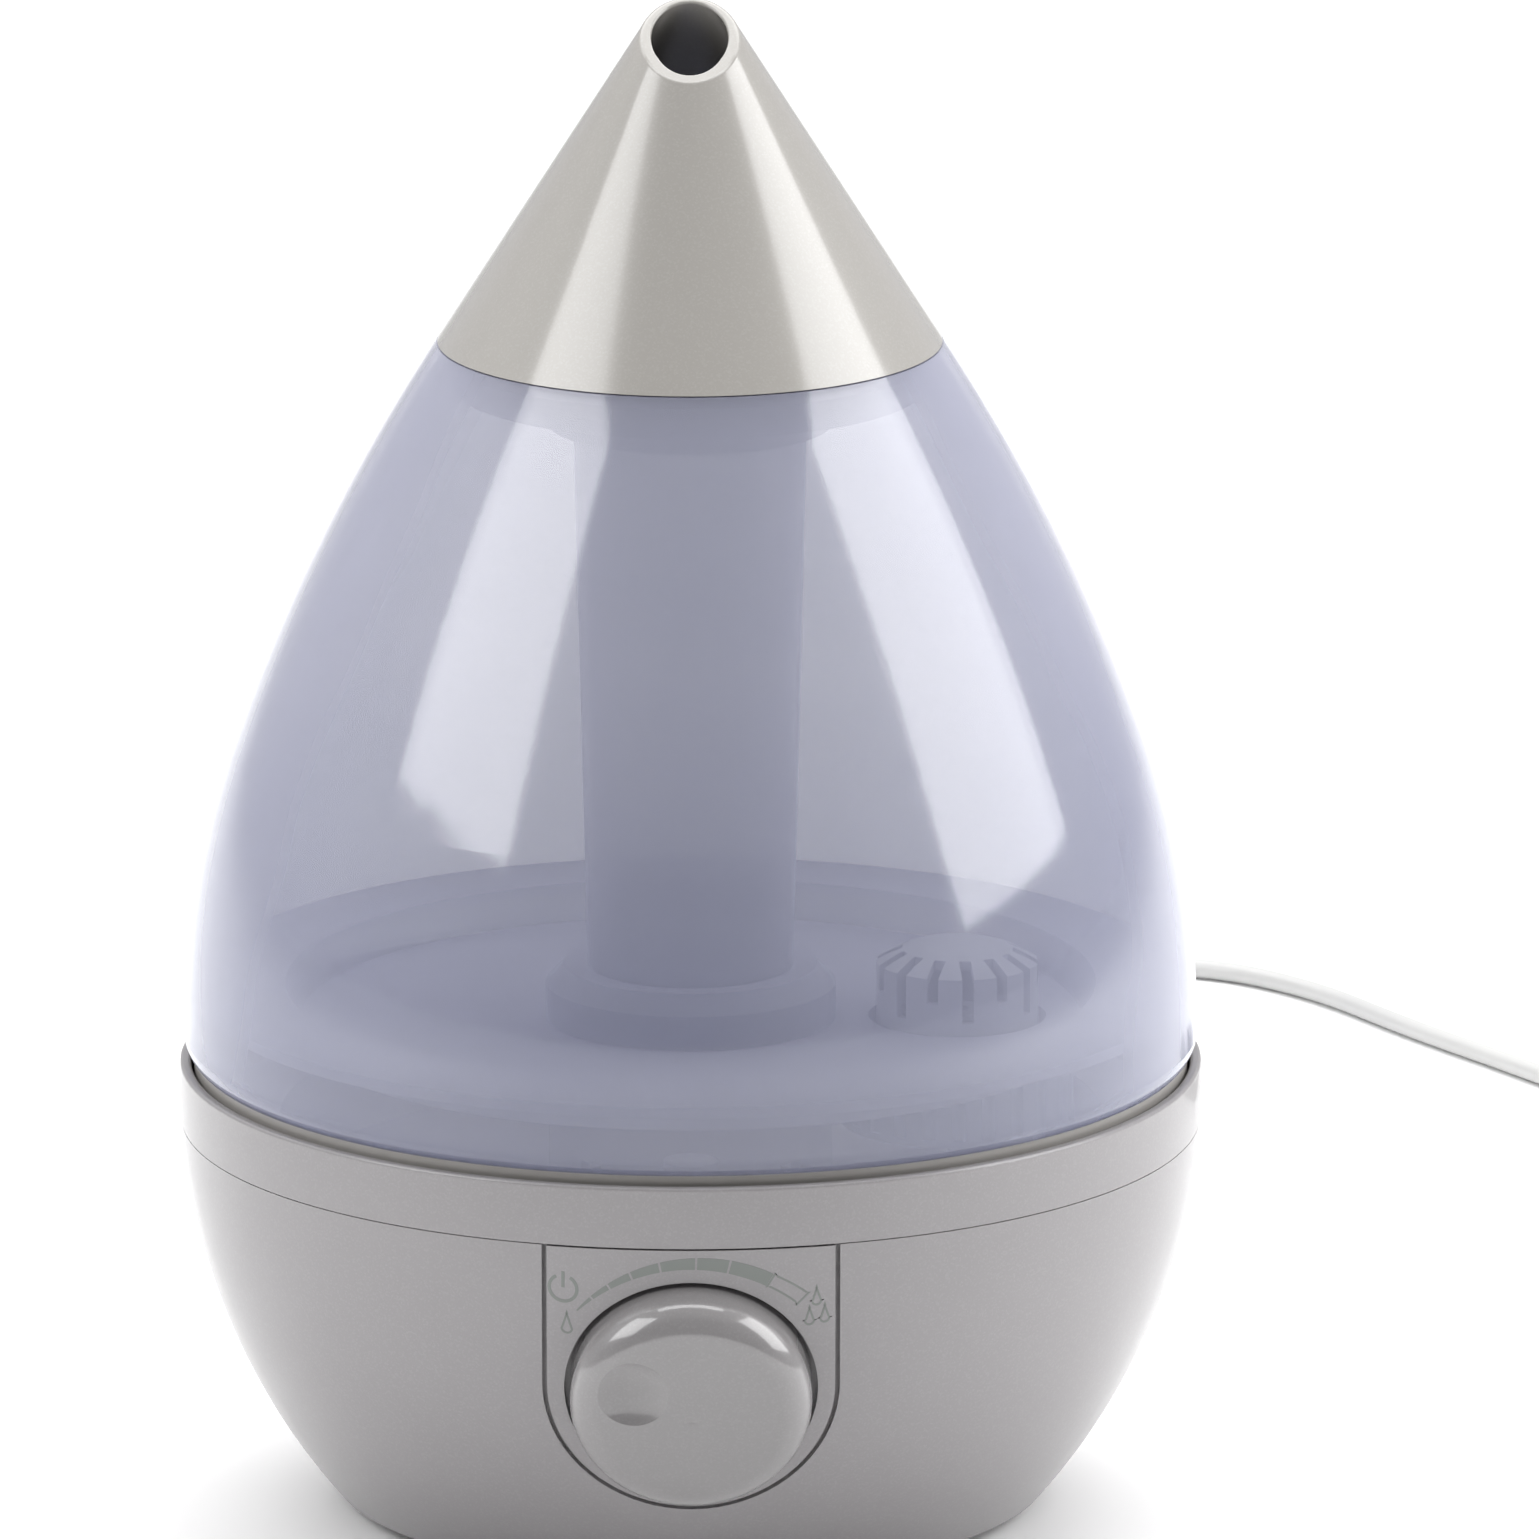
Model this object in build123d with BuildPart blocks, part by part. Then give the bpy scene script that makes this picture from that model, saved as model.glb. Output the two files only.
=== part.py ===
from build123d import *
from math import cos, pi, radians, sin, sqrt, tan
import os

# Drop-shaped cool mist humidifier: a bowl base, a lift-off water tank and a cone nozzle.
# Millimetres, +Z up, origin on the resting plane under the vertical axis, -Y is the front.

os.makedirs("parts", exist_ok=True)

# ---- Overall form ----
base_radius = 109.3      # widest radius of the base
base_widest = 91.9       # height of that widest ring
bowl_curve = 137.2       # radius of the bowl's side in section
foot_height = 2.5        # the feet lift the bowl this far
seam_height = 83.0       # the bowl ends here and the collar starts
rim_height = 96.3        # top of the collar
tank_inset = 1.0         # the tank's widest ring stands this far inside the base's
tank_radius = base_radius - tank_inset
tank_widest = 102.5      # height of that widest ring
belly_curve = 182.0      # radius of the tank's lower side in section
belly_turn = 19.5        # degrees that side turns through
shoulder_curve = 425.0   # radius of the tank's upper side in section
cone_lean = 32.6         # degrees between the straight side of the cone and the axis
cap_joint = 253.0        # the tank ends and the nozzle starts
mouth_drop = 14.9        # from the cone's point down to the sloping mouth, on the axis
mouth_tilt = 32.0        # degrees that the mouth slopes down to the front

# ---- Walls and clearances ----
bowl_wall = 2.6
collar_wall = 2.4
deck_wall = 2.4
tank_wall = 2.4
nozzle_wall = 2.2
floor_wall = 2.4
seam_gap = 0.2           # between mouldings that meet at a visible seam
seat_gap = 0.3           # between a lifted or turning piece and its seat
running_gap = 0.05       # radial clearance of a shaft in its bore
skin_gap = 0.1           # between curved mouldings that are bonded

# ---- Base: bottom opening, cover and feet ----
bottom_opening = 70.0    # radius of the hole that the cover closes
cover_thickness = 2.5
ledge_inner = 61.0       # ring inside the bowl that the cover is screwed to
ledge_thickness = 2.4
deck_ledge = 2.0         # ring inside the bowl's top that carries the deck
deck_ledge_reach = 7.5
screw_ring = 64.0        # radius of the circle of cover screws
screw_shank = 1.4
screw_head = 2.8
screw_head_height = 1.6
boss_radius = 4.0
boss_height = 9.0
foot_radius = 8.0
foot_ring = 60.0

# ---- Base: deck and water basin ----
deck_top = 83.4
deck_ring_wall = 3.6     # upstanding ring that the tank's edge sits on
basin_margin = 21.3      # from the base's widest ring in to the basin's wall
basin_radius = base_radius - basin_margin
basin_floor = 66.0       # top face of the basin's floor
sump_radius = 28.0
sump_floor = 57.0        # top face of the sump's floor
splash_ring_wall = 2.2
splash_ring_top = 101.6
splash_slot = 6.0
transducer_opening = 9.0
valve_post_radius = 3.0
float_post_radius = 4.5
float_post_top = 88.0
float_post_head = 5.8
float_y = -56.0

# ---- Base: fan and duct ----
fan_y = 57.5
fan_size = 50.0
fan_depth = 15.0
fan_top = 55.0
fan_bore = 23.5
fan_screw_pitch = 40.0
duct_radius = 11.0
duct_wall = 2.0
duct_top = 94.0

# ---- Tank ----
edge_curl = 6.0          # radius of the tank's rounded lower edge
edge_turn = 44.4         # degrees that the edge curls inwards
tank_floor_low = 102.6   # underside of the tank's floor
floor_margin = 22.3      # from the tank's widest ring in to where the floor turns up
floor_edge = tank_radius - floor_margin
flange_height = 110.4    # underside of the flange that is welded to the wall
flange_flare = 3.0
tube_bore_low = 20.2     # mist tube's bore at the floor
tube_bore_high = 23.2    # and at the neck
tube_wall = 1.8
chimney_boss_radius = 31.0
chimney_boss_top = 116.6
chimney_boss_slope = 4.0 # bevel round the boss's top
neck_plate_low = 243.0
neck_plate = 2.0
neck_inner = 48.4        # bore that the cap's seat plugs into
neck_wall = 1.8

# ---- Filler cap, filter and valve ----
filler_x = 57.0
filler_bore = 19.0
filler_neck_wall = 2.5
filler_neck_end = 86.5
filler_cap_reach = 6.0   # the cap is this much wider than the neck's bore, on each side
filler_cap_radius = filler_bore + filler_cap_reach
filler_cap_low = 82.0
filler_cap_top = 97.3
filler_cap_wall = 2.4
filter_play = 1.7        # between the filter and the neck's bore
filter_radius = filler_bore - filter_play
filter_wall = 1.6
filter_shoulder = 117.0
filter_top = 122.0
filter_slots = 14
filter_slot_width = 2.6
filter_slot_reach = 5.5  # how far each slot runs in over the crown
first_slot = 277.0       # heading of the first long slot, in degrees from +X
long_slot = 9.5          # how far the slots run down from the crown's shoulder
short_slot = 5.5
valve_travel = 4.0
stem_radius = 2.0
stem_low = 72.4
seal_radius = 12.0
disc_thickness = 1.5
spring_radius = 4.6
spring_wire = 0.5

# ---- Knob and control panel ----
knob_height = 49.6       # where the knob's axis leaves the bowl's side
knob_radius = 25.4
knob_stand = 9.0         # the face's edge stands this far off the bowl
knob_edge = 7.6          # radius of the knob's rounded edge
knob_wall = 2.2
knob_gap = 1.2           # between the knob and the panel's opening
dimple_radius = 7.25
dimple_sphere = 14.0
dimple_offset = 14.9     # from the knob's axis
dimple_angle = 152.0     # where the dimple points when switched off
panel_margin = 4.8       # between the knob's edge and the panel's side
panel_half_width = knob_radius + panel_margin
panel_skin = 1.4
panel_groove = 1.0
panel_ledge = 2.0        # the bowl's rebate reaches this far under the panel's top
well_depth = 7.0
well_wall = 1.6
shaft_radius = 3.0
shaft_press = 0.02       # between the knob's hub and its shaft
bushing_radius = 3.9

# ---- Mains lead ----
lead_diameter = 4.4
gland_x = 22.0
gland_height = 16.0
gland_radius = 5.0
gland_flange = 7.0
coil_radius = 24.5       # to the middle of the coil's turns
coil_columns = 3
coil_rows = 2
coil_centre = (238.0, 323.0)
lead_end_x = 260.0       # where the coiled lead enters the plug
plug_length = 36.0
plug_width = 26.0
plug_thickness = 13.6
pin_radius = 2.0
pin_length = 19.0
pin_spacing = 18.6

Z_UP = (0, 0, 1)


def upright(x=0.0, y=0.0):
    """Vertical sketch plane through (x, y): local x is the radius, local y is the height."""
    return Plane(origin=(x, y, 0), x_dir=(1, 0, 0), z_dir=(0, -1, 0))


def turn(outline, x=0.0, y=0.0, mode=Mode.ADD):
    """Revolve a closed outline of (radius, height) points about the vertical line at (x, y)."""
    with BuildSketch(upright(x, y)) as profile:
        with BuildLine():
            Polyline(*outline, close=True)
        make_face()
    revolve(profile.sketch, axis=Axis((x, y, 0), Z_UP), mode=mode)


def ring(inner, outer, low, high, x=0.0, y=0.0, mode=Mode.ADD):
    """Upright tube, or a rod where inner is 0."""
    turn([(inner, low), (outer, low), (outer, high), (inner, high)], x, y, mode)


def bowl_side(height, inset=0.0):
    """Point (radius, height) on the bowl's side, inset from its outer surface."""
    reach = sqrt((bowl_curve - inset) ** 2 - (base_widest - height) ** 2)
    return (base_radius - bowl_curve + reach, height)


def bowl_arc(low, high, inset=0.0):
    """Arc of the bowl's side between two heights."""
    return ThreePointArc(
        bowl_side(low, inset), bowl_side((low + high) / 2, inset), bowl_side(high, inset)
    )


def turn_bowl(low, high, outer, inner, mode=Mode.ADD):
    """Revolve a layer of the bowl's side between two insets; inner of None reaches the axis."""
    with BuildSketch(Plane.XZ) as profile:
        with BuildLine():
            side = bowl_arc(low, high, outer)
            if inner is None:
                Polyline(side @ 1, (0, high), (0, low), side @ 0)
            else:
                back = bowl_arc(low, high, inner)
                Line(side @ 1, back @ 1)
                Line(back @ 0, side @ 0)
        make_face()
    revolve(profile.sketch, axis=Axis.Z, mode=mode)


def drop_side(inset, top):
    """Tank and nozzle side from the widest ring up to a height, inset from the outer surface."""
    belly = JernArc((tank_radius - inset, tank_widest), (0, 1), belly_curve - inset, belly_turn)
    shoulder = JernArc(belly @ 1, belly % 1, shoulder_curve - inset, cone_lean - belly_turn)
    start = shoulder @ 1
    rise = top - start.Y
    cone = Line(start, (start.X - rise * tan(radians(cone_lean)), top))
    return belly, cone


def cone_radius(height, inset=0.0):
    """Radius of the cone's side at a height, inset from its outer surface."""
    lean = radians(cone_lean)
    belly = radians(belly_turn)
    start_z = tank_widest + belly_curve * sin(belly) + shoulder_curve * (sin(lean) - sin(belly))
    start_r = (
        tank_radius - belly_curve * (1 - cos(belly)) - shoulder_curve * (cos(belly) - cos(lean))
    )
    return start_r - (height - start_z) * tan(lean) - inset / cos(lean)


def save(builder, name):
    """Label a finished piece and write its STEP file."""
    builder.part.label = name
    export_step(builder.part, f"parts/{name}.step")


# ======================= Knob axis =======================
knob_drop = (base_widest - knob_height) / bowl_curve          # sine of the axis's dip
knob_level = sqrt(1 - knob_drop ** 2)
knob_origin = Vector(0, -bowl_side(knob_height)[0], knob_height)
knob_axis = Vector(0, -knob_level, -knob_drop)
knob_face_plane = Plane(origin=knob_origin, x_dir=(1, 0, 0), z_dir=knob_axis)
knob_section = Plane(origin=knob_origin, x_dir=(1, 0, 0), z_dir=(0, knob_drop, -knob_level))
opening_radius = knob_radius + knob_gap
well_outer = opening_radius + well_wall


def knob_turn(outline, mode=Mode.ADD):
    """Revolve (radius, height off the bowl) points about the knob's axis."""
    with BuildSketch(knob_section) as profile:
        with BuildLine():
            Polyline(*outline, close=True)
        make_face()
    revolve(profile.sketch, axis=Axis(knob_origin, knob_axis), mode=mode)


def knob_ring(inner, outer, low, high, mode=Mode.ADD):
    """Tube about the knob's axis, or a rod where inner is 0."""
    knob_turn([(inner, low), (outer, low), (outer, high), (inner, high)], mode)


def tongue(half_width, straight, mode):
    """Cut or keep a round-ended tongue about the knob's axis, open towards the collar."""
    with BuildSketch(knob_face_plane.offset(-2 * knob_radius)) as outline:
        Circle(half_width)
        with Locations((0, straight / 2)):
            Rectangle(2 * half_width, straight)
    extrude(outline.sketch, amount=3 * knob_radius, mode=mode)


# ======================= Base housing =======================
cover_top = foot_height + cover_thickness
ledge_top = cover_top + ledge_thickness
deck_low = deck_top - deck_wall
deck_outer = bowl_side(rim_height, collar_wall)[0] - 2 * seat_gap
panel_top = seam_height - seam_gap
# The strain relief's flange lies against the lowest and narrowest part of the wall it covers.
gland_seat = sqrt(
    bowl_side(gland_height - gland_flange, bowl_wall)[0] ** 2 - (gland_x + gland_flange) ** 2
)
panel_low = knob_height - panel_half_width - knob_edge    # below the tongue's round end

with BuildPart() as panel_recess:
    turn_bowl(panel_low, seam_height, 0, panel_skin + skin_gap)
    tongue(panel_half_width + panel_groove, 2 * knob_radius, Mode.INTERSECT)

with BuildPart() as base_bowl:
    turn_bowl(foot_height, seam_height, 0, bowl_wall)
    ring(bottom_opening, bowl_side(foot_height)[0] - bowl_wall / 2, foot_height, cover_top)
    ring(ledge_inner, bowl_side(cover_top)[0] - bowl_wall / 2, cover_top, ledge_top)
    ring(
        bowl_side(deck_low, deck_ledge_reach)[0],
        bowl_side(deck_low, bowl_wall / 2)[0],
        deck_low - deck_ledge,
        deck_low,
    )
    with BuildSketch(Plane.XY.offset(cover_top)) as bosses:
        with PolarLocations(screw_ring, 4):
            Circle(boss_radius)
    extrude(bosses.sketch, amount=boss_height)
    with BuildSketch(Plane.XY.offset(cover_top)) as pilot_holes:
        with PolarLocations(screw_ring, 4):
            Circle(screw_shank + running_gap)
    extrude(pilot_holes.sketch, amount=boss_height, mode=Mode.SUBTRACT)
    add(panel_recess.part, mode=Mode.SUBTRACT)
    # Window for the knob's well, small enough to leave a rebate all round it.
    tongue(well_outer + skin_gap, knob_radius - panel_ledge, Mode.SUBTRACT)
    # Wall hole for the lead's strain relief.
    with BuildSketch(Plane.XZ.offset(-gland_seat)) as lead_hole:
        with Locations((gland_x, gland_height)):
            Circle(gland_radius + skin_gap)
    extrude(lead_hole.sketch, amount=-8 * bowl_wall, mode=Mode.SUBTRACT)
save(base_bowl, "base_bowl")

with BuildPart() as base_collar:
    turn_bowl(seam_height + seam_gap, rim_height, 0, collar_wall)
    fillet(base_collar.edges().filter_by(GeomType.CIRCLE).group_by(Axis.Z)[-1], 0.7)
save(base_collar, "base_collar")

with BuildPart() as control_panel:
    turn_bowl(panel_low, panel_top, 0, panel_skin)
    tongue(panel_half_width, 2 * knob_radius, Mode.INTERSECT)
    knob_ring(0, well_outer, -well_depth - well_wall, 0)
    knob_ring(0, opening_radius, -well_depth, knob_stand, Mode.SUBTRACT)
    knob_ring(0, bushing_radius, -well_depth - 2 * well_wall, 0, Mode.SUBTRACT)
    turn_bowl(panel_low, panel_top, 0, None, Mode.INTERSECT)
    # Room for the deck above the well.
    ring(0, deck_outer + skin_gap, deck_low - seam_gap, seam_height, mode=Mode.SUBTRACT)
save(control_panel, "control_panel")

slot_width = 3.0
slot_pitch = 6.0
with BuildPart() as bottom_cover:
    ring(0, bottom_opening - seat_gap, foot_height, cover_top)
    with BuildSketch(Plane.XY.offset(foot_height)) as screw_holes:
        with PolarLocations(screw_ring, 4):
            Circle(screw_shank + seat_gap)
    extrude(screw_holes.sketch, amount=cover_thickness, mode=Mode.SUBTRACT)
    with BuildSketch(Plane.XY.offset(foot_height)) as head_pockets:
        with PolarLocations(screw_ring, 4):
            Circle(screw_head + seat_gap)
    extrude(head_pockets.sketch, amount=screw_head_height, mode=Mode.SUBTRACT)
    # Air intake under the fan.
    with BuildSketch(Plane.XY.offset(foot_height)) as intake:
        with Locations((0, fan_y - fan_size / 2)):
            with GridLocations(slot_pitch, 1, 7, 1):
                SlotOverall(fan_size * 0.72, slot_width, rotation=90)
    extrude(intake.sketch, amount=cover_thickness, mode=Mode.SUBTRACT)
save(bottom_cover, "bottom_cover")

with BuildPart() as bottom_screws:
    head_low = foot_height + seam_gap
    shoulder = foot_height + screw_head_height
    for turn_step in range(4):
        spot = Vector(screw_ring, 0).rotate(Axis.Z, 90 * turn_step)
        ring(0, screw_head, head_low, shoulder, spot.X, spot.Y)
        ring(0, screw_shank, shoulder, cover_top + boss_height - 1, spot.X, spot.Y)
save(bottom_screws, "bottom_screws")

with BuildPart() as rubber_feet:
    for turn_step in range(4):
        spot = Vector(foot_ring, 0).rotate(Axis.Z, 45 + 90 * turn_step)
        turn(
            [(0, 0), (foot_radius - 0.8, 0), (foot_radius, 0.8), (foot_radius, foot_height),
             (0, foot_height)],
            spot.X,
            spot.Y,
        )
save(rubber_feet, "rubber_feet")

# ======================= Deck and basin =======================
ring_inner = deck_outer - deck_ring_wall
tank_edge = tank_widest - edge_curl * sin(radians(edge_turn))
deck_ring_top = tank_edge
splash_outer = sump_radius + splash_ring_wall
basin_low = basin_floor - deck_wall
sump_low = sump_floor - deck_wall
valve_post_top = stem_low - seat_gap
fan_corner = fan_screw_pitch / 2
duct_flange = 2.0

with BuildPart() as base_deck:
    turn([
        (deck_outer, deck_low), (deck_outer, deck_ring_top), (ring_inner, deck_ring_top),
        (ring_inner, deck_top), (basin_radius, deck_top), (basin_radius, basin_floor),
        (sump_radius, basin_floor), (sump_radius, sump_floor),
        (transducer_opening, sump_floor), (transducer_opening, sump_low),
        (splash_outer, sump_low), (splash_outer, basin_low),
        (basin_radius + deck_wall, basin_low), (basin_radius + deck_wall, deck_low),
    ])
    # Hole in the basin's floor that the air duct is bonded into.
    ring(0, duct_radius + duct_wall + running_gap, basin_low, basin_floor, 0, fan_y, Mode.SUBTRACT)
    # Post that opens the tank's valve, and the float's guide post.
    ring(0, valve_post_radius, basin_floor - deck_wall / 2, valve_post_top, filler_x)
    ring(0, float_post_radius, basin_floor - deck_wall / 2, float_post_top, 0, float_y)
    ring(0, float_post_head, float_post_top - 2, float_post_top, 0, float_y)
    # Fan bosses under the basin.
    with BuildSketch(Plane.XY.offset(basin_low)) as fan_bosses:
        with Locations((0, fan_y)):
            with GridLocations(fan_screw_pitch, fan_screw_pitch, 2, 2):
                Circle(boss_radius)
    extrude(fan_bosses.sketch, amount=-(basin_low - fan_top - duct_flange))
    with BuildSketch(Plane.XY.offset(fan_top)) as fan_pilots:
        with Locations((0, fan_y)):
            with GridLocations(fan_screw_pitch, fan_screw_pitch, 2, 2):
                Circle(screw_shank + running_gap)
    extrude(fan_pilots.sketch, amount=basin_low - fan_top, mode=Mode.SUBTRACT)
    # Pilot holes for the transducer's holder.
    holder_screw_ring = 16.3
    with BuildSketch(Plane.XY.offset(sump_low)) as holder_pilots:
        with PolarLocations(holder_screw_ring, 3, start_angle=90):
            Circle(screw_shank + running_gap)
    extrude(holder_pilots.sketch, amount=deck_wall - 0.6, mode=Mode.SUBTRACT)
save(base_deck, "base_deck")

with BuildPart() as splash_ring:
    ring(sump_radius, splash_outer, basin_floor + running_gap, splash_ring_top)
    # Slots that let water through to the sump.
    with BuildSketch(Plane.XY.offset(basin_floor)) as water_slots:
        with PolarLocations(sump_radius, 4, start_angle=45):
            Rectangle(4 * splash_ring_wall, splash_slot)
    extrude(water_slots.sketch, amount=2 * splash_slot, mode=Mode.SUBTRACT)
save(splash_ring, "splash_ring")

# ======================= Float =======================
float_inner = float_post_radius + 0.4
float_outer = 11.0
float_low = basin_floor + seat_gap
float_height = 9.0
magnet_inner = float_inner + 0.8
magnet_outer = magnet_inner + 2.7
magnet_height = 3.0
with BuildPart() as float_ring:
    ring(float_inner, float_outer, float_low, float_low + float_height, 0, float_y)
    ring(magnet_inner, magnet_outer, float_low, float_low + magnet_height, 0, float_y,
         Mode.SUBTRACT)
    fillet(float_ring.edges().group_by(Axis.Z)[-1].sort_by(SortBy.RADIUS)[-1], 1.5)
save(float_ring, "float_ring")

with BuildPart() as float_magnet:
    ring(magnet_inner + running_gap, magnet_outer - running_gap, float_low + seam_gap,
         float_low + magnet_height, 0, float_y)
save(float_magnet, "float_magnet")

# ======================= Transducer =======================
disc_radius = 10.0
disc_low = sump_low - 1.4
holder_seal_low = sump_low - 2.8
seal_outer = disc_radius + 2.4
with BuildPart() as transducer_disc:
    ring(0, disc_radius, disc_low, disc_low + 1.2)
    ring(0, disc_radius - 4, disc_low - 0.3, disc_low)
save(transducer_disc, "transducer_disc")

with BuildPart() as transducer_seal:
    ring(disc_radius - 2, seal_outer, holder_seal_low, sump_low)
    ring(0, disc_radius + running_gap, disc_low - running_gap, disc_low + 1.2 + running_gap,
         mode=Mode.SUBTRACT)
save(transducer_seal, "transducer_seal")

holder_outer = 20.0
with BuildPart() as transducer_holder:
    turn([
        (disc_radius - 3, holder_seal_low - deck_wall), (holder_outer, holder_seal_low - deck_wall),
        (holder_outer, sump_low), (seal_outer + seam_gap, sump_low),
        (seal_outer + seam_gap, holder_seal_low), (disc_radius - 3, holder_seal_low),
    ])
    with BuildSketch(Plane.XY.offset(holder_seal_low - deck_wall)) as holder_holes:
        with PolarLocations(holder_screw_ring, 3, start_angle=90):
            Circle(screw_shank + running_gap)
    extrude(holder_holes.sketch, amount=2 * deck_wall + 3, mode=Mode.SUBTRACT)
save(transducer_holder, "transducer_holder")

with BuildPart() as holder_screws:
    holder_low = holder_seal_low - deck_wall
    for turn_step in range(3):
        spot = Vector(holder_screw_ring, 0).rotate(Axis.Z, 90 + 120 * turn_step)
        ring(0, screw_head, holder_low - screw_head_height, holder_low, spot.X, spot.Y)
        ring(0, screw_shank, holder_low, sump_low + 1.5, spot.X, spot.Y)
save(holder_screws, "holder_screws")

# ======================= Fan =======================
fan_low = fan_top - fan_depth
hub_radius = 9.5
motor_radius = 8.0
fan_shaft_radius = 1.5
strut_width = 3.0
spider_height = 2.0
with BuildPart() as fan_frame:
    with BuildSketch(Plane.XY.offset(fan_low)) as frame_outline:
        with Locations((0, fan_y)):
            RectangleRounded(fan_size, fan_size, 4)
            Circle(fan_bore, mode=Mode.SUBTRACT)
            with GridLocations(fan_screw_pitch, fan_screw_pitch, 2, 2):
                Circle(screw_shank + seat_gap, mode=Mode.SUBTRACT)
    extrude(frame_outline.sketch, amount=fan_depth)
    with BuildSketch(Plane.XY.offset(fan_low)) as spider:
        with Locations((0, fan_y)):
            Circle(hub_radius)
            Rectangle(2 * fan_bore + 1, strut_width)
            Rectangle(strut_width, 2 * fan_bore + 1)
    extrude(spider.sketch, amount=spider_height)
save(fan_frame, "fan_frame")

motor_low = fan_low + spider_height
motor_top = motor_low + 6.0
with BuildPart() as fan_motor:
    ring(fan_shaft_radius + running_gap, motor_radius - 1.5, motor_low, motor_top, 0, fan_y)
    with BuildSketch(Plane.XY.offset(motor_low + 1)) as poles:
        with Locations((0, fan_y)):
            with PolarLocations(motor_radius - 1.5, 4):
                Rectangle(3.0, 5.0)
    extrude(poles.sketch, amount=motor_top - motor_low - 1.5)
save(fan_motor, "fan_motor")

rotor_inner = motor_radius + 0.5
rotor_outer = rotor_inner + 1.2
blade_tip = fan_bore - 0.8
blade_low = fan_low + spider_height + 0.8
with BuildPart() as fan_impeller:
    turn([
        (fan_shaft_radius, motor_top + 0.6), (rotor_inner, motor_top + 0.6),
        (rotor_inner, blade_low), (rotor_outer, blade_low), (rotor_outer, motor_top + 2.2),
        (fan_shaft_radius, motor_top + 2.2),
    ], 0, fan_y)
    # Seven pitched blades.
    for blade in range(7):
        heading = 360 / 7 * blade
        outward = Vector(1, 0).rotate(Axis.Z, heading)
        across = Vector(0, 1).rotate(Axis.Z, heading)
        root = Vector(0, fan_y, (blade_low + motor_top + 2.2) / 2) + outward * (rotor_outer - 0.4)
        lean = (across + Vector(0, 0, 0.75)).normalized()
        with BuildSketch(Plane(origin=root, x_dir=lean, z_dir=outward)) as blade_root:
            Rectangle(10.5, 1.2)
        extrude(blade_root.sketch, amount=blade_tip - rotor_outer)
save(fan_impeller, "fan_impeller")

with BuildPart() as fan_shaft:
    ring(0, fan_shaft_radius, motor_low + seat_gap, motor_top + 2.6, 0, fan_y)
save(fan_shaft, "fan_shaft")

with BuildPart() as fan_duct:
    flange_top = fan_top + duct_flange
    with BuildSketch(Plane.XY.offset(fan_top)) as flange_outline:
        with Locations((0, fan_y)):
            RectangleRounded(fan_size, fan_size, 4)
            Circle(fan_bore - 1, mode=Mode.SUBTRACT)
            with GridLocations(fan_screw_pitch, fan_screw_pitch, 2, 2):
                Circle(screw_shank + seat_gap, mode=Mode.SUBTRACT)
    extrude(flange_outline.sketch, amount=duct_flange)
    turn([
        (fan_bore - 1, flange_top), (fan_bore + 0.5, flange_top),
        (duct_radius + duct_wall, basin_low), (duct_radius + duct_wall, duct_top),
        (duct_radius, duct_top), (duct_radius, basin_low),
    ], 0, fan_y)
    with BuildSketch(Plane.XY.offset(flange_top)) as boss_room:
        with Locations((0, fan_y)):
            with GridLocations(fan_screw_pitch, fan_screw_pitch, 2, 2):
                Circle(boss_radius + seam_gap)
    extrude(boss_room.sketch, amount=basin_low - flange_top, mode=Mode.SUBTRACT)
save(fan_duct, "fan_duct")

with BuildPart() as fan_screws:
    for side_x in (-fan_corner, fan_corner):
        for side_y in (fan_y - fan_corner, fan_y + fan_corner):
            ring(0, screw_head, fan_low - screw_head_height, fan_low, side_x, side_y)
            ring(0, screw_shank, fan_low, basin_low - 1, side_x, side_y)
save(fan_screws, "fan_screws")

# ======================= Electronics =======================
board_x, board_y = -29.0, -12.0
board_width, board_length, board_thickness = 42.0, 48.0, 1.6
board_low = cover_top + 11.0
board_top = board_low + board_thickness
standoff_x = board_width - 8
standoff_y = board_length - 8
with BuildPart() as board_posts:
    with BuildSketch(Plane.XY.offset(cover_top)) as posts:
        with Locations((board_x, board_y)):
            with GridLocations(standoff_x, standoff_y, 2, 2):
                Circle(3.0)
                Circle(screw_shank, mode=Mode.SUBTRACT)
    extrude(posts.sketch, amount=board_low - cover_top)
save(board_posts, "board_posts")

with BuildPart() as driver_board:
    with BuildSketch(Plane.XY.offset(board_low)) as board_outline:
        with Locations((board_x, board_y)):
            Rectangle(board_width, board_length)
            with GridLocations(standoff_x, standoff_y, 2, 2):
                Circle(screw_shank + seat_gap, mode=Mode.SUBTRACT)
    extrude(board_outline.sketch, amount=board_thickness)
save(driver_board, "driver_board")

with BuildPart() as board_screws:
    for side_x in (board_x - standoff_x / 2, board_x + standoff_x / 2):
        for side_y in (board_y - standoff_y / 2, board_y + standoff_y / 2):
            ring(0, screw_head, board_top, board_top + screw_head_height, side_x, side_y)
            ring(0, screw_shank - running_gap, cover_top + 2, board_top, side_x, side_y)
save(board_screws, "board_screws")

sink_fins = 7
sink_pitch = 4.0
sink_width = 30.0
sink_height = 20.0
sink_x, sink_y = board_x, board_y + 7
with BuildPart() as heat_sink:
    with BuildSketch(Plane.XY.offset(board_top)) as sink_base:
        with Locations((sink_x, sink_y)):
            Rectangle(sink_width, 3.0)
            with GridLocations(sink_pitch, 1, sink_fins, 1):
                with Locations((0, 5.5)):
                    Rectangle(1.4, 9.0)
    extrude(sink_base.sketch, amount=sink_height)
save(heat_sink, "heat_sink")

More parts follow.
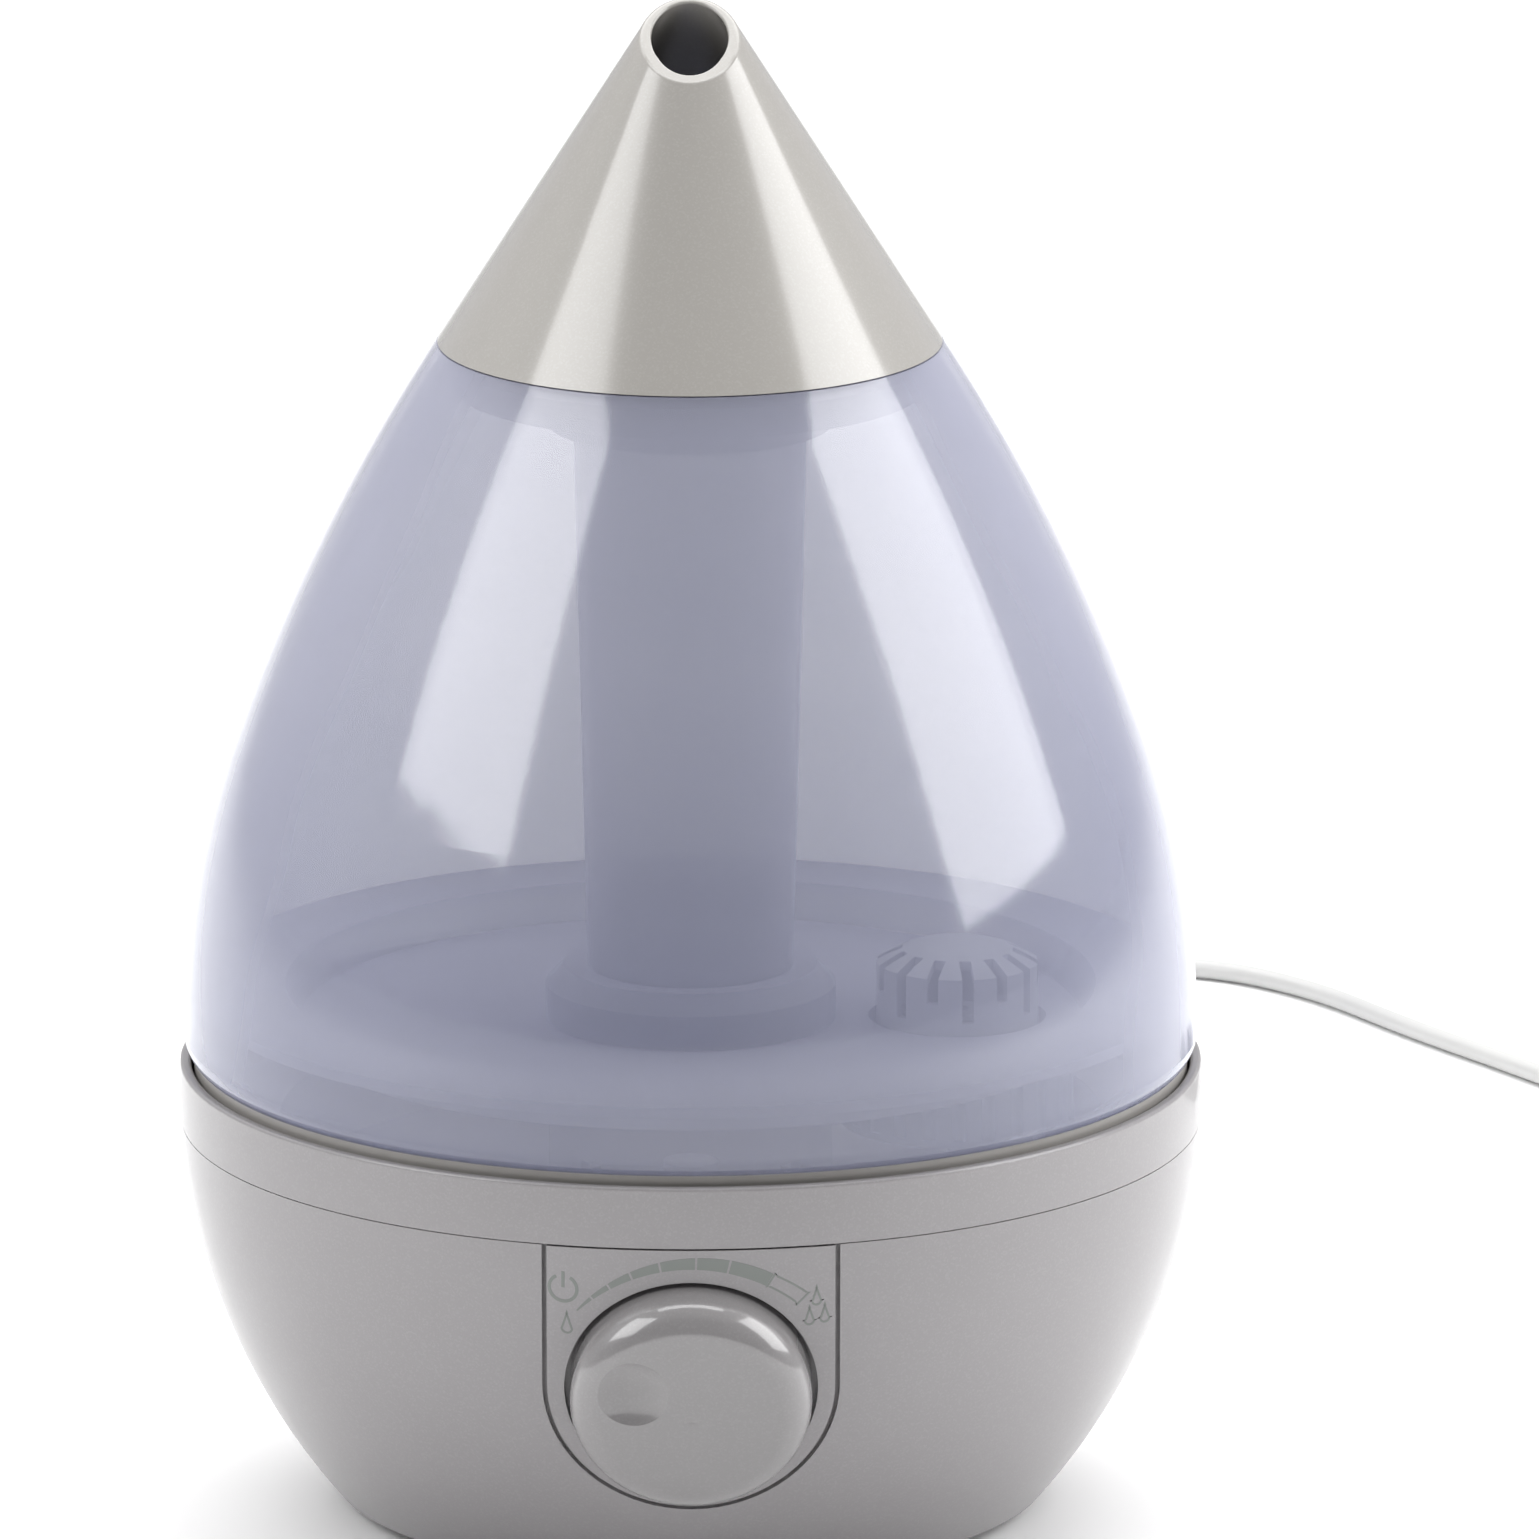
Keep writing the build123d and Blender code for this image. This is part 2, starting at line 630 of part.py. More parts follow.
with BuildPart() as board_parts:
    # Two capacitors, the power transistor against the heat sink, and two sockets.
    ring(0, 6.5, board_top, board_top + 20, board_x + 9, board_y - 9)
    ring(0, 4.0, board_top, board_top + 12, board_x - 3, board_y - 18)
    with BuildSketch(Plane.XY.offset(board_top)) as blocks:
        with Locations((sink_x, sink_y - 1.5 - 2.3)):
            Rectangle(10, 4.6)
        with Locations((board_x - 12, board_y - 6)):
            Rectangle(7, 14)
        with Locations((board_x + 6, board_y - 20)):
            Rectangle(10, 5)
    extrude(blocks.sketch, amount=10)
save(board_parts, "board_parts")

core_x, core_y = 35.0, -12.0
core_length, core_depth, core_height = 48.0, 20.0, 40.0
limb = 8.0
with BuildPart() as transformer_core:
    with BuildSketch(Plane.XY.offset(cover_top)) as core_outline:
        with Locations((core_x, core_y)):
            Rectangle(core_depth, core_length)
    extrude(core_outline.sketch, amount=core_height)
    # Two windows each side of the centre limb.
    with BuildSketch(Plane.YZ.offset(core_x - core_depth)) as windows:
        for side in (-1, 1):
            with Locations((core_y + side * (limb + 4.0), cover_top + core_height / 2)):
                Rectangle(limb, core_height - 2 * limb)
    extrude(windows.sketch, amount=2 * core_depth, mode=Mode.SUBTRACT)
save(transformer_core, "transformer_core")

with BuildPart() as transformer_winding:
    winding_low = cover_top + limb + 0.5
    winding_high = cover_top + core_height - limb - 0.5
    with BuildSketch(Plane.XY.offset(winding_low)) as winding:
        with Locations((core_x, core_y)):
            RectangleRounded(core_depth + 2 * limb - 1, 4 * limb - 1, 4)
            Rectangle(core_depth + 2 * running_gap, 2 * limb + 2 * running_gap,
                      mode=Mode.SUBTRACT)
    extrude(winding.sketch, amount=winding_high - winding_low)
save(transformer_winding, "transformer_winding")

# ======================= Knob and potentiometer =======================
well_back = -well_depth - well_wall
pot_depth = 8.0
with BuildPart() as potentiometer:
    with BuildSketch(knob_face_plane.offset(well_back)) as pot_body:
        RectangleRounded(17, 17, 2)
    extrude(pot_body.sketch, amount=-pot_depth)
    knob_ring(0, bushing_radius - running_gap, well_back, -2.6)
    knob_ring(0, shaft_radius + running_gap, well_back - pot_depth, -2.6, Mode.SUBTRACT)
    for leg in (-5, 0, 5):
        with BuildSketch(knob_face_plane.offset(well_back - pot_depth / 2)) as leg_outline:
            with Locations((leg, -11)):
                Rectangle(1.2, 6)
        extrude(leg_outline.sketch, amount=0.6)
save(potentiometer, "potentiometer")

with BuildPart() as pot_nut:
    with BuildSketch(knob_face_plane.offset(-well_depth)) as nut_outline:
        RegularPolygon(6.2, 6)
        Circle(bushing_radius, mode=Mode.SUBTRACT)
    extrude(nut_outline.sketch, amount=2.4)
save(pot_nut, "pot_nut")

knob_hub = 6.0
knob_hub_low = -2.0
shaft_top = knob_stand - knob_wall - 1.5
skirt_low = -well_depth + 0.8
face_rise = 1.1
with BuildPart() as knob:
    with BuildSketch(knob_section) as knob_profile:
        with BuildLine():
            Line((0, skirt_low), (knob_radius, skirt_low))
            Line((knob_radius, skirt_low), (knob_radius, knob_stand - knob_edge))
            edge_arc = JernArc((knob_radius, knob_stand - knob_edge), (0, 1), knob_edge, 84)
            TangentArc((0, knob_stand + face_rise), edge_arc @ 1, tangent=(1, 0))
            Line((0, knob_stand + face_rise), (0, skirt_low))
        make_face()
    revolve(knob_profile.sketch, axis=Axis(knob_origin, knob_axis))
    # Thumb dimple on the face.
    dimple_lift = sqrt(dimple_sphere ** 2 - dimple_radius ** 2)
    dimple_spot = (
        dimple_offset * cos(radians(dimple_angle)),
        dimple_offset * sin(radians(dimple_angle)),
        knob_stand + dimple_lift,
    )
    dimple_ball = Pos(*knob_face_plane.from_local_coords(Vector(*dimple_spot))) * Sphere(
        dimple_sphere, mode=Mode.PRIVATE
    )
    add(dimple_ball, mode=Mode.SUBTRACT)
    # Hollow back, leaving the hub and a thick face behind the dimple.
    knob_ring(knob_hub, knob_radius - knob_wall, skirt_low, knob_stand - 2 * knob_wall,
              Mode.SUBTRACT)
    knob_ring(0, knob_hub, skirt_low, knob_hub_low, Mode.SUBTRACT)
    knob_ring(0, shaft_radius + shaft_press, knob_hub_low, shaft_top, Mode.SUBTRACT)
save(knob, "knob")

with BuildPart() as knob_shaft:
    knob_ring(0, shaft_radius, well_back - pot_depth + 1, shaft_top)
save(knob_shaft, "knob_shaft")

# ======================= Tank =======================
tube_top = neck_plate_low
with BuildPart() as tank_shell:
    with BuildSketch(Plane.XZ) as shell_profile:
        with BuildLine():
            outer_curl = JernArc((tank_radius, tank_widest), (0, -1), edge_curl, -edge_turn)
            inner_curl = JernArc(
                (tank_radius - tank_wall, tank_widest), (0, -1), edge_curl - tank_wall, -edge_turn
            )
            Line(outer_curl @ 1, inner_curl @ 1)
            outer_side = drop_side(0, cap_joint - seat_gap)
            inner_side = drop_side(tank_wall, cap_joint - seat_gap)
            Line(outer_side[1] @ 1, inner_side[1] @ 1)
        make_face()
    revolve(shell_profile.sketch, axis=Axis.Z)
save(tank_shell, "tank_shell")

flange_top = flange_height + floor_wall
flange_reach = (
    tank_radius - belly_curve
    + sqrt((belly_curve - tank_wall) ** 2 - (flange_top - tank_widest) ** 2) - skin_gap
)
floor_top = tank_floor_low + floor_wall
boss_ceiling = chimney_boss_top - floor_wall
boss_inner = chimney_boss_radius - floor_wall
with BuildPart() as tank_floor:
    turn([
        (tube_bore_low, boss_ceiling), (boss_inner - chimney_boss_slope, boss_ceiling),
        (boss_inner, boss_ceiling - chimney_boss_slope), (boss_inner, tank_floor_low),
        (floor_edge, tank_floor_low),
        (floor_edge + flange_flare, flange_height), (flange_reach, flange_height),
        (flange_reach, flange_top), (floor_edge + flange_flare - floor_wall, flange_top),
        (floor_edge - floor_wall, floor_top), (chimney_boss_radius, floor_top),
        (chimney_boss_radius, chimney_boss_top - chimney_boss_slope),
        (chimney_boss_radius - chimney_boss_slope, chimney_boss_top),
        (tube_bore_low, chimney_boss_top),
    ])
    ring(0, filler_bore + filler_neck_wall, filler_neck_end, floor_top, filler_x)
    ring(0, filler_bore, filler_neck_end, floor_top, filler_x, mode=Mode.SUBTRACT)
save(tank_floor, "tank_floor")

with BuildPart() as mist_tube:
    turn([
        (tube_bore_low, chimney_boss_top), (tube_bore_low + tube_wall, chimney_boss_top),
        (tube_bore_high + tube_wall, tube_top), (tube_bore_high, tube_top),
    ])
save(mist_tube, "mist_tube")

neck_seat = neck_plate_low + neck_plate
neck_rim = cap_joint - 0.8
flange_low = neck_rim - 2.2
sleeve_radius = 28.4
with BuildPart() as neck_collar:
    turn([
        (tube_bore_high, neck_plate_low), (sleeve_radius, neck_plate_low),
        (sleeve_radius, neck_plate_low - 8), (sleeve_radius + neck_wall, neck_plate_low - 8),
        (sleeve_radius + neck_wall, neck_plate_low), (neck_inner + neck_wall, neck_plate_low),
        (neck_inner + neck_wall, flange_low),
        (cone_radius(flange_low, tank_wall + skin_gap), flange_low),
        (cone_radius(neck_rim, tank_wall + skin_gap), neck_rim),
        (neck_inner, neck_rim), (neck_inner, neck_seat), (tube_bore_high, neck_seat),
    ])
save(neck_collar, "neck_collar")

# ======================= Cap seat and nozzle =======================
seat_outer = neck_inner - 0.4
seat_wall = 1.5
seat_low = neck_seat + seat_gap
skirt_outer = seat_outer - seat_wall - seat_gap
skirt_wall = 1.8
seat_hole = 30.0
with BuildPart() as cap_seat:
    turn([
        (seat_hole, seat_low), (seat_outer, seat_low), (seat_outer, cap_joint - 0.4),
        (seat_outer - seat_wall, cap_joint - 0.4), (seat_outer - seat_wall, seat_low + seat_wall),
        (seat_hole + seat_wall, seat_low + seat_wall), (seat_hole + seat_wall, cap_joint),
        (seat_hole, cap_joint),
    ])
save(cap_seat, "cap_seat")

cone_point = cone_radius(0) / tan(radians(cone_lean))
mouth_plane = Plane(
    origin=(0, 0, cone_point - mouth_drop),
    x_dir=(1, 0, 0),
    z_dir=(0, -sin(radians(mouth_tilt)), cos(radians(mouth_tilt))),
)
mouth_width = 15.3
mouth_length = 21.4
mouth_shift = -5.4       # centre of the hole, down the slope from the axis
with BuildPart() as nozzle_cap:
    with BuildSketch(Plane.XZ) as cone_profile:
        with BuildLine():
            Polyline(
                (cone_radius(cap_joint), cap_joint), (0, cone_point), (0, cap_joint), close=True
            )
        make_face()
    revolve(cone_profile.sketch, axis=Axis.Z)
    split(bisect_by=mouth_plane, keep=Keep.BOTTOM)
    rim = nozzle_cap.faces().filter_by(GeomType.PLANE).sort_by(Axis.Z)[-1].edges()
    fillet(rim, 1.3)
    inner_apex = cone_radius(0, nozzle_wall) / tan(radians(cone_lean))
    turn([(0, cap_joint), (cone_radius(cap_joint, nozzle_wall), cap_joint), (0, inner_apex)],
         mode=Mode.SUBTRACT)
    with BuildSketch(mouth_plane.offset(2)) as mouth:
        with Locations((0, mouth_shift)):
            Ellipse(mouth_width / 2, mouth_length / 2)
    extrude(mouth.sketch, amount=-14, mode=Mode.SUBTRACT)
    lip = nozzle_cap.faces().filter_by(GeomType.PLANE).sort_by(Axis.Z)[-1]
    fillet(lip.inner_wires()[0].edges(), 0.5)
    skirt_low_z = seat_low + seat_wall + seat_gap
    skirt_join = cap_joint + (cone_radius(cap_joint, nozzle_wall) - skirt_outer) / tan(
        radians(cone_lean)
    )
    ring(skirt_outer - skirt_wall, skirt_outer, skirt_low_z, skirt_join + 1.5)
save(nozzle_cap, "nozzle_cap")

# ======================= Filler cap, filter and valve =======================
cap_plate_top = filler_cap_low + filler_cap_wall
cap_inner = filler_bore + filler_neck_wall + 0.8
guide_outer = 4.2
guide_top = cap_plate_top + 2.4
grip_count = 24
with BuildPart() as filler_cap:
    ring(0, filler_cap_radius, filler_cap_low, filler_cap_top, filler_x)
    ring(0, cap_inner, cap_plate_top, filler_cap_top, filler_x, mode=Mode.SUBTRACT)
    with BuildSketch(Plane.XY.offset(filler_cap_low)) as flow_holes:
        with Locations((filler_x, 0)):
            Circle(stem_radius + 0.3)
            with PolarLocations(8, 6):
                Circle(2.6)
    extrude(flow_holes.sketch, amount=filler_cap_wall, mode=Mode.SUBTRACT)
    with BuildSketch(Plane.XY.offset(filler_cap_low + 1.5)) as grip_flutes:
        with Locations((filler_x, 0)):
            with PolarLocations(filler_cap_radius + 0.6, grip_count):
                Circle(1.6)
    extrude(grip_flutes.sketch, amount=filler_cap_top - filler_cap_low - 3, mode=Mode.SUBTRACT)
save(filler_cap, "filler_cap")

gasket_inner = filler_bore + 0.3
with BuildPart() as filler_gasket:
    ring(gasket_inner, cap_inner - skin_gap, cap_plate_top, filler_neck_end - seat_gap, filler_x)
save(filler_gasket, "filler_gasket")

spring_seat = 104.0
crown_rise = filter_top - filter_shoulder


def dome(radius, low, shoulder_z):
    """Solid of revolution with a shallow crown, closed at its foot."""
    with BuildSketch(upright(filler_x)) as profile:
        with BuildLine():
            crown = TangentArc(
                (0, shoulder_z + crown_rise), (radius, shoulder_z), tangent=(1, 0)
            )
            Polyline(crown @ 1, (radius, low), (0, low), crown @ 0)
        make_face()
    return profile.sketch


with BuildPart() as filter_cartridge:
    filter_axis = Axis((filler_x, 0, 0), Z_UP)
    revolve(dome(filter_radius, cap_plate_top, filter_shoulder), axis=filter_axis)
    revolve(
        dome(filter_radius - filter_wall, cap_plate_top, filter_shoulder - filter_wall),
        axis=filter_axis,
        mode=Mode.SUBTRACT,
    )
    # Radial slots over the crown's edge, alternately long and short.
    for slot in range(filter_slots):
        reach = short_slot if slot % 2 else long_slot
        outward = Vector(1, 0).rotate(Axis.Z, first_slot + 360 / filter_slots * slot)
        middle = Vector(filler_x, 0, 0) + outward * filter_radius
        with BuildSketch(Plane(origin=middle, x_dir=outward, z_dir=Z_UP).offset(
                filter_shoulder - reach)) as slot_outline:
            Rectangle(2 * filter_slot_reach, filter_slot_width)
        extrude(slot_outline.sketch, amount=reach + crown_rise, mode=Mode.SUBTRACT)
    # Bridge that holds the spring's upper end.
    with BuildSketch(Plane.XY.offset(spring_seat)) as bridge:
        with Locations((filler_x, 0)):
            Rectangle(2 * filter_radius - filter_wall, 6)
            Circle(spring_radius + 2)
            Circle(stem_radius + 0.6, mode=Mode.SUBTRACT)
    extrude(bridge.sketch, amount=floor_wall)
save(filter_cartridge, "filter_cartridge")

seal_low = cap_plate_top + seat_gap + valve_travel
disc_low_z = seal_low + disc_thickness
disc_top_z = disc_low_z + disc_thickness
with BuildPart() as valve_plunger:
    ring(0, stem_radius, stem_low, disc_top_z + 9, filler_x)
    ring(0, seal_radius - 1.5, disc_low_z, disc_top_z, filler_x)
save(valve_plunger, "valve_plunger")

with BuildPart() as valve_seal:
    ring(stem_radius + running_gap, seal_radius, seal_low, disc_low_z, filler_x)
save(valve_seal, "valve_seal")

spring_low = disc_top_z + 0.1
with BuildPart() as valve_spring:
    with BuildLine():
        coil_path = Helix(
            pitch=2.6,
            height=spring_seat - spring_low - 2 * spring_wire,
            radius=spring_radius,
            center=(filler_x, 0, spring_low + spring_wire),
        )
    with BuildSketch(Plane(origin=coil_path @ 0, z_dir=coil_path % 0)) as wire_section:
        Circle(spring_wire)
    sweep(wire_section.sketch, path=coil_path, is_frenet=True)
save(valve_spring, "valve_spring")

# ======================= Mains lead =======================
# The strain relief reaches as far back as the knob reaches forward.
rear_reach = -knob.part.bounding_box().min.Y
flange_front = gland_seat - skin_gap
gland_out = bowl_side(gland_height + gland_radius)[0] + 2.0
lead_radius = lead_diameter / 2
with BuildPart() as cord_gland:
    with BuildSketch(Plane(origin=(gland_x, 0, gland_height), x_dir=(1, 0, 0),
                           z_dir=(0, 0, 1))) as gland_profile:
        with BuildLine():
            Polyline(
                (0, flange_front - 3), (gland_flange, flange_front - 3),
                (gland_flange, flange_front), (gland_radius, flange_front),
                (gland_radius, gland_out), (lead_radius + 1.0, rear_reach), (0, rear_reach),
                close=True,
            )
        make_face()
    revolve(gland_profile.sketch, axis=Axis((gland_x, 0, gland_height), (0, 1, 0)))
save(cord_gland, "cord_gland")

lead_floor = lead_radius + 0.05
coil_top = 2 * lead_radius * coil_rows
coil_half = lead_radius * coil_columns
coil_turn_radius = coil_radius + coil_half - lead_radius
lead_points = [
    (gland_x, rear_reach, gland_height),
    (gland_x, 143.0, gland_height),
    (23.0, 178.0, 8.0),
    (28.0, 222.0, lead_floor),
    (34.0, 270.0, lead_floor),
    (37.0, 318.0, lead_floor),
    (45.0, 364.0, lead_floor),
    (62.0, 404.0, lead_floor),
    (90.0, 431.0, lead_floor),
    (121.0, 434.0, lead_floor),
    (147.0, 412.0, lead_floor),
    (168.0, 376.0, lead_floor),
    (191.0, 343.0, lead_floor),
    (214.0, 307.0, lead_floor),
]


def corner_radii(points):
    """Largest arc that each corner's two runs allow, with 0.45 of the shorter run."""
    radii = []
    for before, corner, after in zip(points, points[1:], points[2:]):
        arriving = Vector(*corner) - Vector(*before)
        leaving = Vector(*after) - Vector(*corner)
        half_turn = radians(arriving.get_angle(leaving)) / 2
        radii.append(0.45 * min(arriving.length, leaving.length) / tan(half_turn))
    return radii


lead_radii = corner_radii(lead_points)
print("lead radii", [round(radius, 1) for radius in lead_radii])
with BuildPart() as power_cord:
    with BuildLine():
        lead_path = FilletPolyline(*lead_points, radius=lead_radii)
    with BuildSketch(Plane(origin=lead_path @ 0, z_dir=lead_path % 0)) as lead_section:
        Circle(lead_radius)
    sweep(lead_section.sketch, path=lead_path)
lead_length = sum(edge.length for edge in lead_path.edges())
section_volume = pi * lead_radius ** 2 * lead_length
print("lead length", round(lead_length, 1), "volume share",
      round(power_cord.part.volume / section_volume, 5))
save(power_cord, "power_cord")

tail_y = coil_centre[1] - coil_turn_radius
tail_z = plug_thickness / 2
with BuildPart() as cord_coil:
    ring(coil_radius - coil_half, coil_radius + coil_half, 0.02, coil_top, *coil_centre)
    with BuildSketch(Plane(origin=(coil_centre[0], tail_y, tail_z), x_dir=(0, 1, 0),
                           z_dir=(1, 0, 0))) as tail:
        Circle(lead_radius)
    extrude(tail.sketch, amount=lead_end_x - coil_centre[0])
save(cord_coil, "cord_coil")

plug_nose = lead_end_x + plug_length
with BuildPart() as power_plug:
    with BuildSketch(Plane.XY) as plug_outline:
        with BuildLine():
            Polyline(
                (lead_end_x, tail_y - 5), (lead_end_x + 12, tail_y - 6),
                (lead_end_x + 20, tail_y - plug_width / 2), (plug_nose, tail_y - plug_width / 2),
                (plug_nose, tail_y + plug_width / 2), (lead_end_x + 20, tail_y + plug_width / 2),
                (lead_end_x + 12, tail_y + 6), (lead_end_x, tail_y + 5),
                close=True,
            )
        make_face()
    extrude(plug_outline.sketch, amount=plug_thickness)
    fillet(power_plug.faces().filter_by(Axis.Z).edges(), 2.0)
save(power_plug, "power_plug")

with BuildPart() as plug_pins:
    for side in (-1, 1):
        with BuildSketch(Plane(origin=(plug_nose, tail_y + side * pin_spacing / 2, tail_z),
                               x_dir=(0, 1, 0), z_dir=(1, 0, 0))) as pin_section:
            Circle(pin_radius)
        extrude(pin_section.sketch, amount=pin_length)
save(plug_pins, "plug_pins")
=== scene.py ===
import logging
import math
from collections.abc import Callable, Sequence
from dataclasses import dataclass, field
from enum import Enum

import bmesh
import bpy
from mathutils import Matrix, Quaternion, Vector


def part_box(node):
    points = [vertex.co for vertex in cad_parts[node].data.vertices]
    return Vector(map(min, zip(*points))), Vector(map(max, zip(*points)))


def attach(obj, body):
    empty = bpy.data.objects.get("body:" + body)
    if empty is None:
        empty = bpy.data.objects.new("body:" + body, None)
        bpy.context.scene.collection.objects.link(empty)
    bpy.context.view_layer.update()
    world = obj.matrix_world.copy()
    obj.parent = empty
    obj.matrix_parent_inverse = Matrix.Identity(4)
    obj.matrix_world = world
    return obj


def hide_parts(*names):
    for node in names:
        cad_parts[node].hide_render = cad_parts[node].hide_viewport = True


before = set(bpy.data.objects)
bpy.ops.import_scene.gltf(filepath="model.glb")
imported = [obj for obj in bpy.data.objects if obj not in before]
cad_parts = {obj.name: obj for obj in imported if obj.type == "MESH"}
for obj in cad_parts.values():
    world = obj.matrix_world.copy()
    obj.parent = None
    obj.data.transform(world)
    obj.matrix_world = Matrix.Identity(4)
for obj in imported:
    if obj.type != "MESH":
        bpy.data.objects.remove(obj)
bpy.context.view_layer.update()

log = logging.getLogger("humidifier")

MM = 0.001
UP = Vector((0, 0, 1))
BASE = "base"  # The body that every new piece rides on.
BAND_SPACING = 0.314  # Distance between a wave pattern's bands at a scale of 1.

Point = tuple[float, float]
Colour = tuple[float, float, float]
Place = tuple[float, float, float]
Tree = bpy.types.NodeTree
Node = bpy.types.Node
Socket = bpy.types.NodeSocket
Material = bpy.types.Material
Piece = bpy.types.Object
Vert = bmesh.types.BMVert


class Slot(Enum):
    """The record's material slots named for new pieces; nothing reads them."""

    KNOB = "knob_plastic"
    LEAD = "lead_pvc"
    PINS = "pin_brass"


class Axis(Enum):
    """Axes that bands can follow."""

    X = "X"
    Z = "Z"


# ======================= Material wiring =======================
class Wiring:
    """Adds nodes to one node tree and links them by socket name."""

    def __init__(self, tree: Tree) -> None:
        """Keeps the tree that the nodes go into.

        Args:
            tree: Node tree of a material, a group or the world.
        """
        self.tree = tree

    def add(self, kind: str, settings: dict | None = None, **inputs: object) -> Node:
        """Adds one node.

        Args:
            kind: Node type, such as ShaderNodeTexNoise.
            settings: Node properties to set.
            inputs: What fill takes.

        Returns:
            The new node.
        """
        node = self.tree.nodes.new(kind)
        for name, value in (settings or {}).items():
            setattr(node, name, value)
        self.fill(node, **inputs)
        return node

    def fill(self, node: Node, **inputs: object) -> None:
        """Feeds a node's sockets.

        Args:
            node: The node.
            inputs: Values or output sockets, by socket name with _ for a space.
        """
        for name, value in inputs.items():
            self.feed(node.inputs[name.replace("_", " ")], value)

    def feed(self, socket: Socket, value: object) -> None:
        """Sets a socket's value, or links it where value is an output socket."""
        if isinstance(value, Socket):
            self.tree.links.new(value, socket)
        elif socket.type == "RGBA":
            socket.default_value = (*value, 1.0)
        else:
            socket.default_value = value

    def ramp(self, factor: Socket, low: float, high: float) -> Socket:
        """Maps a factor from low..high to 0..1.

        Args:
            factor: Output socket to map.
            low: Value that becomes 0.
            high: Value that becomes 1.

        Returns:
            The mapped output socket.
        """
        node = self.add("ShaderNodeMapRange", {"clamp": True}, Value=factor, From_Min=low,
                        From_Max=high)
        return node.outputs["Result"]

    def blend(self, factor: object, first: object, second: object) -> Socket:
        """Mixes two colours.

        Args:
            factor: Share of the second colour, a number or a socket.
            first: Colour or socket at factor 0.
            second: Colour or socket at factor 1.

        Returns:
            The mixed colour's socket.
        """
        node = self.add("ShaderNodeMix", {"data_type": "RGBA"})
        for socket, value in ((0, factor), (6, first), (7, second)):
            self.feed(node.inputs[socket], value)
        return node.outputs[2]

    def maths(self, operation: str, first: object, second: object) -> Socket:
        """Adds a Math node.

        Args:
            operation: Blender's name of the operation.
            first: First number or socket.
            second: Second number or socket.

        Returns:
            The result's socket.
        """
        node = self.add("ShaderNodeMath", {"operation": operation})
        self.feed(node.inputs[0], first)
        self.feed(node.inputs[1], second)
        return node.outputs[0]

    def scaled(self, factor: Socket, size: float, base: float) -> Socket:
        """A base number plus a factor times a size."""
        return self.maths("ADD", self.maths("MULTIPLY", factor, size), base)

    def noise(self, place: Socket, scale: object, detail: float) -> Socket:
        """Adds a noise pattern.

        Args:
            place: Where the pattern is read.
            scale: Its scale, a number or a socket.
            detail: How many finer layers it has.

        Returns:
            The pattern's value.
        """
        return self.add("ShaderNodeTexNoise", Vector=place, Scale=scale, Detail=detail).outputs[0]

    def bump(self, height: Socket, strength: float, depth: float) -> Socket:
        """Turns a height into a normal.

        Args:
            height: The height.
            strength: Share of the bump that shows.
            depth: Depth of the bump in millimetres.

        Returns:
            The normal.
        """
        node = self.add("ShaderNodeBump", Strength=strength, Distance=depth * MM, Height=height)
        return node.outputs[0]


class Effect(Enum):
    """Shared surface effects, one node group each."""

    GRAIN = "fine_grain"
    MOTTLE = "colour_mottle"
    FLAKE = "pearl_flake"
    DUST = "settled_dust"
    RINGS = "turned_rings"


